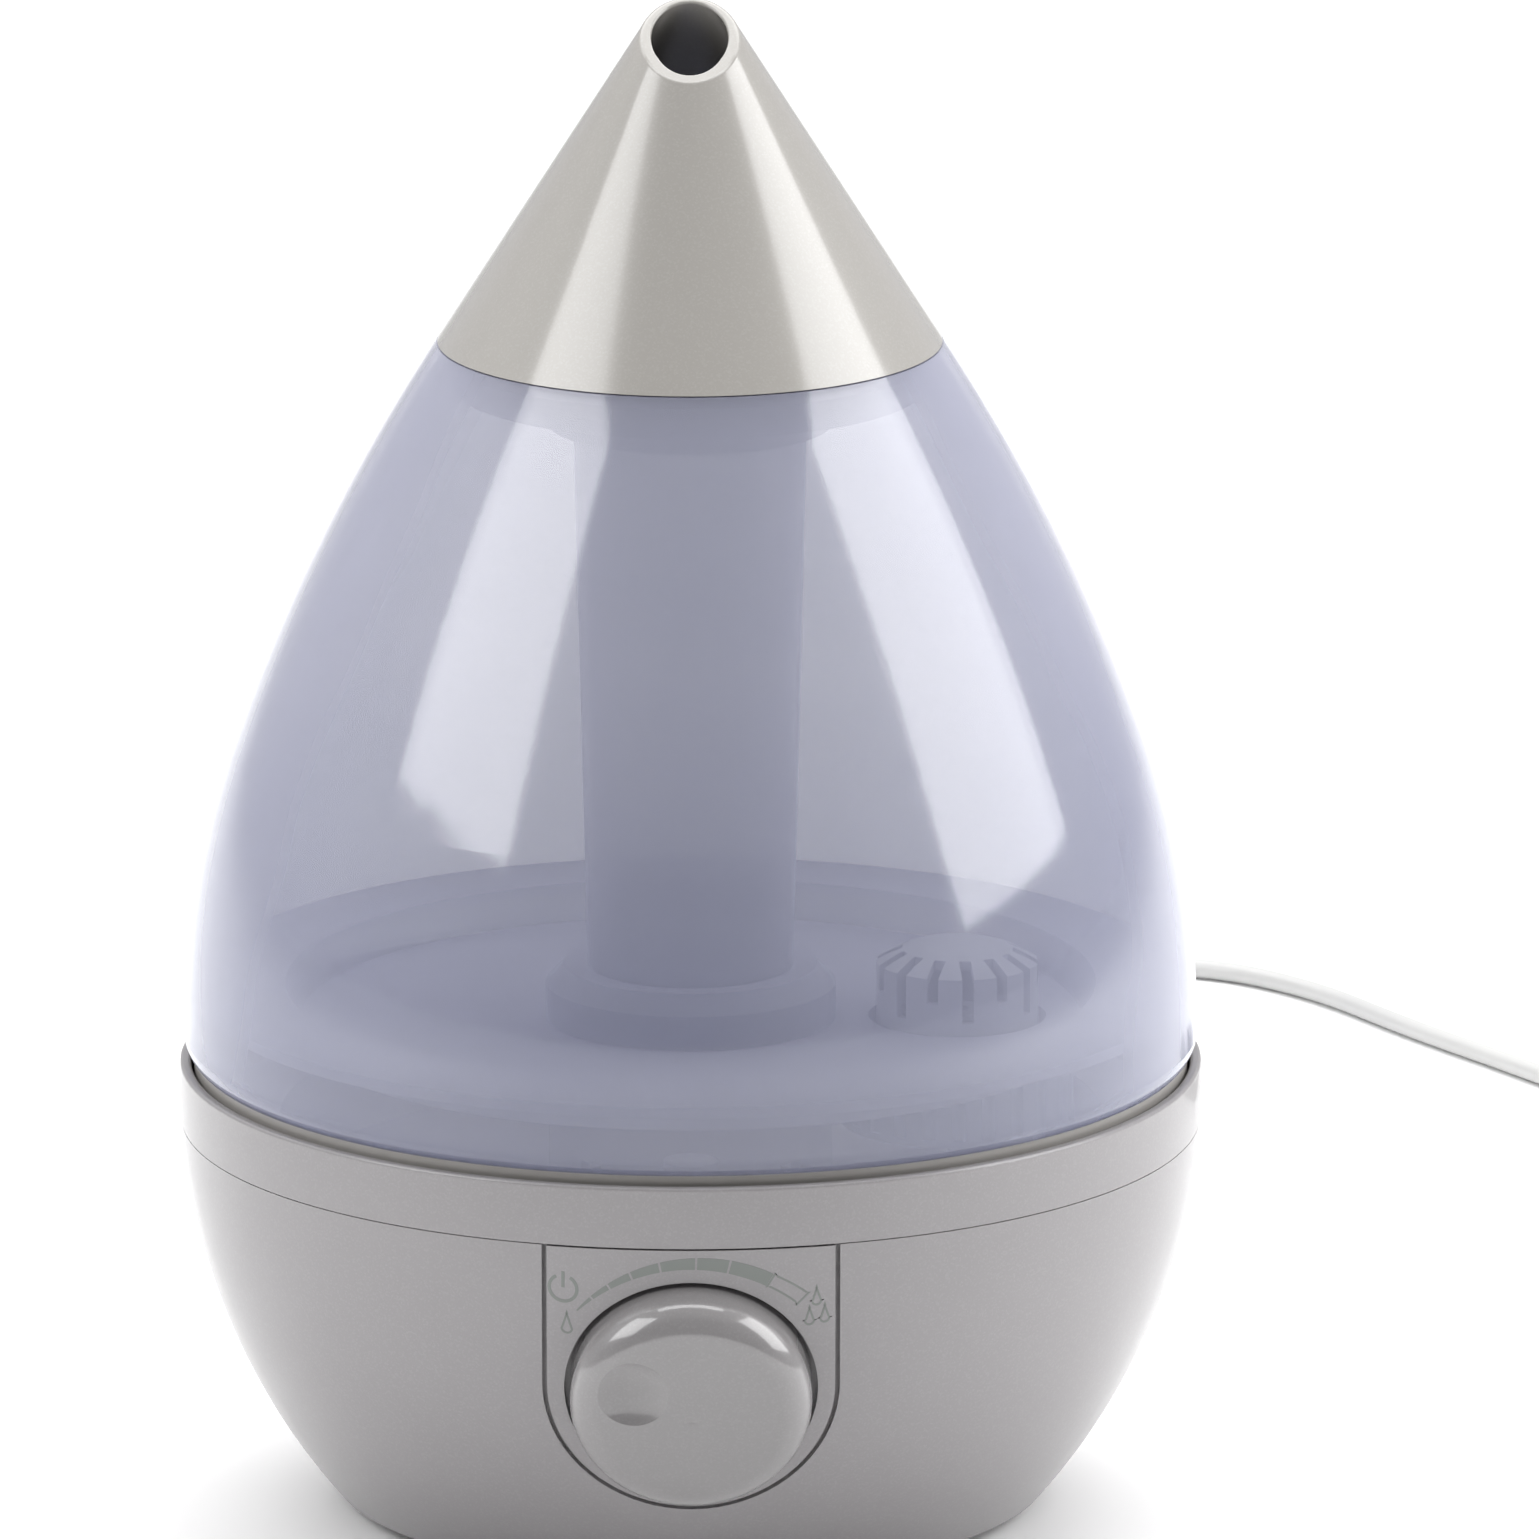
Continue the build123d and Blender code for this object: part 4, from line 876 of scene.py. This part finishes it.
# ======================= Mains lead =======================
@dataclass
class MainsLead:
    """The lead with its strain relief, coil, tie and plug."""

    diameter: float = 4.4 * MM
    length: float = 1.5
    turn_points: int = 16
    columns: int = 3
    rows: int = 2
    coil_centre: Point = (238.0 * MM, 323.0 * MM)
    coil_radius: float = 24.5 * MM
    plug_entry: float = 260.0 * MM
    plug_approach: float = 8 * MM
    route: tuple[Place, ...] = (
        (0.022, 0.143, 0.016), (0.023, 0.178, 0.008), (0.028, 0.222, 0.00225),
        (0.034, 0.270, 0.00225), (0.037, 0.318, 0.00225), (0.045, 0.364, 0.00225),
        (0.062, 0.404, 0.00225), (0.090, 0.431, 0.00225), (0.121, 0.434, 0.00225),
        (0.147, 0.412, 0.00225), (0.168, 0.376, 0.00225), (0.191, 0.343, 0.00225),
        (0.214, 0.307, 0.00225),
    )
    floor_gap: float = 0.05 * MM
    last_turn: float = 270.0
    crossing: float = 0.75

    def make(self) -> None:
        """Builds the lead and everything on it."""
        relief = self.make_relief()
        plug = self.make_plug()
        pins = self.make_pins()
        tie = self.make_tie()
        lead = self.make_lead()

    def exit_point(self) -> Place:
        """Where the lead leaves its strain relief."""
        low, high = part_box("cord_gland")
        return ((low.x + high.x) / 2, high.y, (low.z + high.z) / 2)

    def coil_points(self) -> list[Place]:
        """Control points of the coil's turns, outer to inner and back out on top."""
        half = self.diameter / 2
        layer = [self.columns - 1 - column for column in range(self.columns)]
        order = [(column, 0) for column in layer] + [(column, 1) for column in reversed(layer)]
        first = math.atan2(self.route[-1][1] - self.coil_centre[1],
                           self.route[-1][0] - self.coil_centre[0])
        last = math.radians(self.last_turn) + 2 * math.pi * (len(order) - 1)
        spare = 1 / math.cos(math.pi / self.turn_points)
        count = round((last - first) / (2 * math.pi) * self.turn_points)
        points = []
        for step in range(1, count + 1):
            angle = first + (last - first) * step / count
            turns = (angle - first) / (2 * math.pi)
            place = min(int(turns), len(order) - 1)
            share = max(0.0, (turns - place - self.crossing) / (1 - self.crossing))
            column, row = order[place]
            ahead = order[min(place + 1, len(order) - 1)]
            column += (ahead[0] - column) * share
            row += (ahead[1] - row) * share
            radius = self.coil_radius + (column - (self.columns - 1) / 2) * self.diameter
            points.append((
                self.coil_centre[0] + radius * spare * math.cos(angle),
                self.coil_centre[1] + radius * spare * math.sin(angle),
                half + self.floor_gap + row * self.diameter,
            ))
        return points

    def make_lead(self) -> Piece:
        """The whole lead as one smooth spline.

        Returns:
            The lead's curve.
        """
        coil = self.coil_points()
        tail = [(self.plug_entry - back, *coil[-1][1:]) for back in (self.plug_approach, 0.0)]
        points = [self.exit_point(), *self.route, *coil, *tail]
        data = bpy.data.curves.new("mains_lead", "CURVE")
        data.dimensions = "3D"
        spline = data.splines.new("NURBS")
        spline.points.add(len(points) - 1)
        for point, place in zip(spline.points, points):
            point.co = (*place, 1.0)
        spline.order_u = 3
        spline.use_endpoint_u = True
        data.resolution_u = 10
        data.bevel_depth = self.diameter / 2
        data.bevel_resolution = 5
        data.use_fill_caps = True
        data.materials.append(material_of(LEAD_PVC))
        lead = add_object("mains_lead", data)
        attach(lead, BASE)
        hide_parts("power_cord", "cord_coil")
        return lead

    def make_relief(self) -> Piece:
        """Tapered strain relief with a flange inside the wall and flexing rings outside.

        Returns:
            The strain relief.
        """
        low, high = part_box("cord_gland")
        centre = Vector(((low.x + high.x) / 2, low.y, (low.z + high.z) / 2))
        reach = high.y - low.y
        flange, neck, tip = (high.x - low.x) / 2, 5.0 * MM, self.diameter / 2 + 1.0 * MM
        flange_depth, wall_end, collar, chamfer = 3.0 * MM, 9.5 * MM, 1.5 * MM, 0.3 * MM
        profile = [(0.0, 0.0), (flange, 0.0), (flange, flange_depth), (neck, flange_depth),
                   (neck, wall_end)]
        rings, groove = 7, 0.55 * MM
        ridge_end, groove_start, groove_end = 0.62, 0.68, 0.94
        pitch = (reach - wall_end - collar) / rings
        for ring in range(rings):
            start = wall_end + ring * pitch
            radius = neck + (tip - neck) * (ring + 0.5) / rings
            profile += [(radius, start), (radius, start + ridge_end * pitch),
                        (radius - groove, start + groove_start * pitch),
                        (radius - groove, start + groove_end * pitch)]
        bore = self.diameter / 2 - 0.1 * MM
        profile += [(tip, reach - collar), (tip - chamfer, reach), (bore, reach), (0.0, reach)]
        blank = Blank("strain_relief")
        blank.spin(profile, 40, place_along(Vector((0, 1, 0)), centre))
        blank.round_edges(0.12 * MM, 2)
        relief = blank.finish(Slot.LEAD, LEAD_PVC)
        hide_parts("cord_gland")
        return relief

    def make_plug(self) -> Piece:
        """Two-pin plug body with a waisted grip and a tapered cable sleeve.

        Returns:
            The plug's body.
        """
        low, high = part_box("power_plug")
        middle, level = (low.y + high.y) / 2, (low.z + high.z) / 2
        half = (high.y - low.y) / 2
        nose, entry, lip = high.x, low.x, half - 1.2 * MM
        side = [(entry + 3 * MM, 4.2 * MM), (entry + 10 * MM, 5.2 * MM),
                (entry + 16 * MM, 9.0 * MM), (entry + 21 * MM, half), (nose - 9 * MM, half),
                (nose - 5 * MM, lip), (nose, lip)]
        outline = [(x, middle - y) for x, y in side] + [(x, middle + y) for x, y in reversed(side)]
        blank = Blank("plug_body")
        blank.slab(outline, low.z, high.z)
        blank.round_edges(1.8 * MM, 4, 50)
        root, sleeve_reach = 3.4 * MM, 9 * MM
        sleeve = [(0.0, 0.0), (self.diameter / 2 + 0.7 * MM, 0.0), (root, 5 * MM),
                  (root, sleeve_reach), (0.0, sleeve_reach)]
        place = place_along(Vector((1, 0, 0)), Vector((entry - 2.5 * MM, middle, level)))
        blank.spin(sleeve, 28, place)
        ribs, first_rib, rib_pitch, rib_height = 5, 20.5, 2.2, 0.3 * MM
        rib_size = (1.0 * MM, 1.3 * half, rib_height)
        for rib in range(ribs):
            x = entry + (first_rib + rib_pitch * rib) * MM
            for top in (low.z + rib_height / 2, high.z - rib_height / 2):
                bar = bmesh.ops.create_cube(blank.mesh, size=1.0)["verts"]
                bmesh.ops.scale(blank.mesh, vec=rib_size, verts=bar)
                bmesh.ops.translate(blank.mesh, vec=(x, middle, top), verts=bar)
        plug = blank.finish(Slot.LEAD, LEAD_PVC, 40)
        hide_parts("power_plug")
        return plug

    def make_pins(self) -> Piece:
        """Two round pins, each with a sleeve at its root and a domed tip.

        Returns:
            The pins.
        """
        low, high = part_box("plug_pins")
        radius = (high.z - low.z) / 2
        reach = high.x - low.x
        bare = radius - 0.12 * MM
        buried, sleeve_end, bare_start, steps = -0.5 * MM, 0.52, 0.54, 8
        profile = [(0.0, buried), (radius, buried), (radius, sleeve_end * reach),
                   (bare, bare_start * reach)]
        dome = [math.radians(90 * step / steps) for step in range(steps)]
        profile += [(bare * math.cos(a), reach - bare + bare * math.sin(a)) for a in dome]
        profile.append((0.0, reach))
        blank = Blank("plug_pin_pair")
        for y in (low.y + radius, high.y - radius):
            spot = Vector((low.x, y, (low.z + high.z) / 2))
            blank.spin(profile, 32, place_along(Vector((1, 0, 0)), spot))
        pins = blank.finish(Slot.PINS, PIN_NICKEL)
        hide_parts("plug_pins")
        return pins

    def make_tie(self) -> Piece:
        """Flat tie that holds the coil's turns together.

        Returns:
            The tie.
        """
        half_width = self.columns * self.diameter / 2 + 0.3 * MM
        top = self.rows * self.diameter + 0.35 * MM
        low, thick, width = 0.02 * MM, 0.5 * MM, 5.0 * MM
        angle = math.radians(20)
        outer = [(-half_width - thick, low), (half_width + thick, low),
                 (half_width + thick, top + thick), (-half_width - thick, top + thick)]
        inner = [(-half_width, low + 0.2 * MM), (half_width, low + 0.2 * MM),
                 (half_width, top), (-half_width, top)]
        blank = Blank("coil_tie")
        rows = []
        for side in (-width / 2, width / 2):
            rows.append([blank.mesh.verts.new((x, side, z)) for x, z in outer])
            rows.append([blank.mesh.verts.new((x, side, z)) for x, z in inner])
        for first, second in ((0, 1), (3, 2), (2, 0), (1, 3)):
            blank.join(rows[first], rows[second])
        bmesh.ops.recalc_face_normals(blank.mesh, faces=blank.mesh.faces[:])
        blank.bevel([e for e in blank.mesh.edges
                     if abs((e.verts[0].co - e.verts[1].co).y) > 0.9 * width], 0.4 * MM, 3)
        spot = Vector((*self.coil_centre, 0)) + self.coil_radius * Vector(
            (math.cos(angle), math.sin(angle), 0))
        turn = Matrix.Translation(spot) @ Matrix.Rotation(angle, 4, "Z")
        bmesh.ops.transform(blank.mesh, matrix=turn, verts=blank.mesh.verts[:])
        return blank.finish(Slot.LEAD, PART_BLACK)


# ======================= Sub-assemblies from the CAD model =======================
@dataclass
class CadUnit:
    """Sub-assembly whose pieces keep their CAD shape and only take a finish."""

    finishes: dict[str, Finish]

    def make(self) -> None:
        """Gives every slot of each piece its finish."""
        for node, finish in self.finishes.items():
            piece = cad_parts[node]
            if not piece.material_slots:
                piece.data.materials.append(None)
            for slot in piece.material_slots:
                slot.material = material_of(finish)
            log.info("%s: %s", node, finish.name)


@dataclass
class BaseUnit(CadUnit):
    """Bowl, collar, deck, control panel, bottom cover and feet."""

    finishes: dict[str, Finish] = field(default_factory=lambda: {
        "base_bowl": PEARL,
        "base_collar": PEARL,
        "control_panel": PEARL,
        "base_deck": DECK_SATIN,
        "splash_ring": DECK_SATIN,
        "bottom_cover": COVER_TEXTURE,
        "bottom_screws": ZINC,
        "rubber_feet": RUBBER,
    })


@dataclass
class ControlKnob(CadUnit):
    """Knob with its shaft, potentiometer and nut."""

    finishes: dict[str, Finish] = field(default_factory=lambda: {
        "knob": KNOB_GLOSS,
        "knob_shaft": SATIN_METAL,
        "potentiometer": SATIN_METAL,
        "pot_nut": ZINC,
    })


@dataclass
class ScaleMarks:
    """Printed scale round the knob: a swelling arc, drops at both ends and a power symbol."""

    base_radius: float = 109.3 * MM
    base_widest: float = 91.9 * MM
    bowl_curve: float = 137.2 * MM
    knob_height: float = 49.6 * MM
    raised: float = 0.05 * MM
    sunk: float = 0.03 * MM
    edges: tuple[float, ...] = (142.2, 133.4, 124.7, 114.5, 102.3, 88.0, 75.0, 57.7, 43.0)
    space: float = 0.9
    outer_depths: tuple[Point, ...] = ((43.0, 33.5), (58.0, 32.7), (75.0, 32.35), (88.0, 32.0),
                                       (102.0, 31.6), (125.0, 30.9), (142.2, 30.55))
    inner_depth: float = 29.5
    swell: float = 0.75
    swell_middle: float = 92.0
    swell_reach: float = 50.0
    left_drop: Point = (-26.0, 15.65)
    left_size: Point = (2.6, 5.0)
    right_drops: tuple[Point, ...] = ((26.3, 21.7), (24.8, 17.35), (28.0, 17.5))
    right_size: Point = (2.3, 4.3)
    power: Point = (-26.75, 23.5)
    line: float = 0.42
    arc_line: float = 0.4
    ring: tuple[float, float] = (2.55, 3.25)
    bar_half: float = 0.33
    blank: Blank = field(default_factory=lambda: Blank("scale_marks"))

    def make(self) -> Piece:
        """Builds all the marks as one thin piece on the panel.

        Returns:
            The marks.
        """
        gap = self.space / 2
        for start, end in zip(self.edges[:-1], self.edges[1:-1]):
            steps = max(4, round(abs(end + gap - (start - gap))))
            self.strip(self.stations(start - gap, end + gap, steps), closed=False)
        last = self.stations(self.edges[-2] - gap, self.edges[-1], 18)
        loop = [outer for _, outer in last] + [inner for inner, _ in last[::-1]]
        self.outline(loop, self.arc_line)
        self.drop(self.left_drop, *self.left_size)
        for spot in self.right_drops:
            self.drop(spot, *self.right_size)
        self.power_symbol()
        return self.blank.finish(Slot.KNOB, INK)

    def depth(self, angle: float) -> tuple[float, float]:
        """Inner and outer radius of the scale's arc at an angle, in millimetres."""
        outer = self.outer_depths[-1][1]
        for (low, first), (high, second) in zip(self.outer_depths, self.outer_depths[1:]):
            if angle <= high:
                outer = first + (second - first) * max(0.0, (angle - low) / (high - low))
                break
        away = min(1.0, abs(angle - self.swell_middle) / self.swell_reach)
        return self.inner_depth + self.swell * away ** 3, outer

    def stations(self, start: float, end: float, steps: int) -> list[tuple[Point, Point]]:
        """Points on both sides of the arc between two angles.

        Args:
            start: First angle in degrees.
            end: Last angle in degrees.
            steps: Number of spans.

        Returns:
            Inner and outer point of each station.
        """
        pairs = []
        for step in range(steps + 1):
            angle = start + (end - start) * step / steps
            turned = math.radians(angle)
            pairs.append(tuple((radius * math.cos(turned), radius * math.sin(turned))
                               for radius in self.depth(angle)))
        return pairs

    def outline(self, loop: Sequence[Point], line: float) -> None:
        """Line of even width just inside a closed loop.

        Args:
            loop: Points round the loop, in millimetres.
            line: Width of the line.
        """
        middle = Vector((sum(x for x, _ in loop), sum(y for _, y in loop))) / len(loop)
        pairs = []
        for index, spot in enumerate(loop):
            before = Vector(loop[index - 1])
            after = Vector(loop[(index + 1) % len(loop)])
            here = Vector(spot)
            first, second = (here - before).normalized(), (after - here).normalized()
            inward = Vector((-first.y, first.x)) + Vector((-second.y, second.x))
            if inward.dot(middle - here) < 0 and abs(first.cross(second)) < 0.5:
                inward.negate()
            reach = line / max(0.5, (1 + first.dot(second)) / 2) ** 0.5
            inner = here + inward.normalized() * reach
            pairs.append(((inner.x, inner.y), spot))
        self.strip(pairs, closed=True)

    def drop(self, centre: Point, width: float, height: float) -> None:
        """Outline of a drop with its point up.

        Args:
            centre: Middle of the drop's box.
            width: Widest width, in millimetres.
            height: Height, in millimetres.
        """
        half = width / 2
        low = centre[1] - height / 2 + half
        tip = centre[1] + height / 2
        steps = 40
        loop = []
        for step in range(steps):
            angle = math.radians(90 - 360 * step / steps)
            across, up = math.cos(angle), math.sin(angle)
            x, y = centre[0] + half * across, low + half * up
            if up > 0:
                narrow = (1 - up) ** 0.75
                pinch = min(1.0, abs(across) / max(narrow, 1e-6) + 0.25)
                x = centre[0] + half * math.copysign(narrow, across) * pinch if step else centre[0]
                y = low + (tip - low) * up ** 1.3
            loop.append((x, y))
        self.outline(loop, self.line)

    def power_symbol(self) -> None:
        """Open ring with a bar through its gap."""
        x, y = self.power
        gap, steps, bar_start, bar_step, bar_steps = 30, 40, 0.2, 0.7, 6
        pairs = []
        for step in range(steps + 1):
            angle = math.radians(90 + gap + (360 - 2 * gap) * step / steps)
            pairs.append(tuple((x + radius * math.cos(angle), y + radius * math.sin(angle))
                               for radius in self.ring))
        self.strip(pairs, closed=False)
        levels = [y + bar_start + bar_step * step for step in range(bar_steps)]
        self.strip([((x - self.bar_half, level), (x + self.bar_half, level))
                    for level in levels], closed=False)

    def on_bowl(self, spot: Point, lift: float) -> Vector:
        """Point on the bowl's side under a spot in the knob's face plane.

        Args:
            spot: Across and up from the knob's axis, in millimetres.
            lift: Distance off the bowl's surface, in metres.

        Returns:
            The point in the frame.
        """
        dip = (self.base_widest - self.knob_height) / self.bowl_curve
        level = math.sqrt(1 - dip * dip)
        inset = self.base_radius - self.bowl_curve
        origin = Vector((0, -(inset + self.bowl_curve * level), self.knob_height))
        start = origin + Vector((spot[0] * MM, -dip * spot[1] * MM, level * spot[1] * MM))
        inward = Vector((0, level, dip))
        near, far, halvings = 0.0, 30 * MM, 40
        for _ in range(halvings):
            middle = (near + far) / 2
            place = start + inward * middle
            outside = math.hypot(place.xy.length - inset, place.z - self.base_widest)
            if outside > self.bowl_curve:
                near = middle
            else:
                far = middle
        place = start + inward * near
        out = place.xy.length - inset
        normal = Vector((*(place.xy.normalized() * out), place.z - self.base_widest)).normalized()
        return place + normal * lift

    def strip(self, pairs: Sequence[tuple[Point, Point]], closed: bool) -> None:
        """Thin solid strip on the bowl between two rows of points.

        Args:
            pairs: Inner and outer point of each station.
            closed: Whether the last station joins the first.
        """
        rings = []
        for inner, outer in pairs:
            corners = [self.on_bowl(inner, -self.sunk), self.on_bowl(outer, -self.sunk),
                       self.on_bowl(outer, self.raised), self.on_bowl(inner, self.raised)]
            rings.append([self.blank.mesh.verts.new(corner) for corner in corners])
        spans = list(zip(rings, rings[1:]))
        if closed:
            spans.append((rings[-1], rings[0]))
        faces = [face for first, second in spans for face in self.blank.join(first, second)]
        if not closed:
            faces += [self.blank.mesh.faces.new(rings[0]), self.blank.mesh.faces.new(rings[-1])]
        bmesh.ops.recalc_face_normals(self.blank.mesh, faces=faces)


@dataclass
class WaterTank(CadUnit):
    """Tank shell, floor, mist tube and neck."""

    finishes: dict[str, Finish] = field(default_factory=lambda: {
        "tank_shell": TANK_MILKY,
        "tank_floor": INNER_MILKY_PAINTED_LIGHT,
        "mist_tube": INNER_MILKY_PAINTED_LIGHT,
        "neck_collar": INNER_MILKY_PAINTED_LIGHT,
    })


@dataclass
class MistNozzle(CadUnit):
    """Turning cone nozzle and the seat that it turns on."""

    finishes: dict[str, Finish] = field(default_factory=lambda: {
        "nozzle_cap": NOZZLE_PEARL,
        "cap_seat": NOZZLE_PEARL,
    })


@dataclass
class FillerUnit(CadUnit):
    """Filler cap, its gasket, the water filter and the spring valve."""

    finishes: dict[str, Finish] = field(default_factory=lambda: {
        "filler_cap": FILLER_PLASTIC,
        "filler_gasket": SILICONE,
        "filter_cartridge": FILTER_WHITE,
        "valve_spring": ZINC,
        "valve_plunger": FILLER_PLASTIC,
        "valve_seal": SILICONE,
    })


@dataclass
class Works(CadUnit):
    """Transducer, float, fan, circuit board and transformer."""

    finishes: dict[str, Finish] = field(default_factory=lambda: {
        "transducer_disc": DISC_METAL,
        "transducer_seal": SILICONE,
        "transducer_holder": SATIN_METAL,
        "holder_screws": ZINC,
        "float_ring": FLOAT_FOAM,
        "float_magnet": CORE_IRON,
        "fan_frame": FAN_BLACK,
        "fan_impeller": FAN_BLACK,
        "fan_shaft": SATIN_METAL,
        "fan_motor": COPPER,
        "fan_duct": COVER_TEXTURE,
        "fan_screws": ZINC,
        "board_posts": COVER_TEXTURE,
        "driver_board": BOARD,
        "board_screws": ZINC,
        "board_parts": PART_BLACK,
        "heat_sink": SINK_METAL,
        "transformer_core": CORE_IRON,
        "transformer_winding": COPPER,
    })


def main() -> None:
    """Builds the studio, then each sub-assembly."""
    logging.basicConfig(level=logging.INFO, format="%(message)s")
    for unit in (Studio(), MainsLead(), BaseUnit(), ControlKnob(), ScaleMarks(), WaterTank(),
                 MistNozzle(), FillerUnit(), Works()):
        unit.make()


if __name__ == "__main__":
    main()
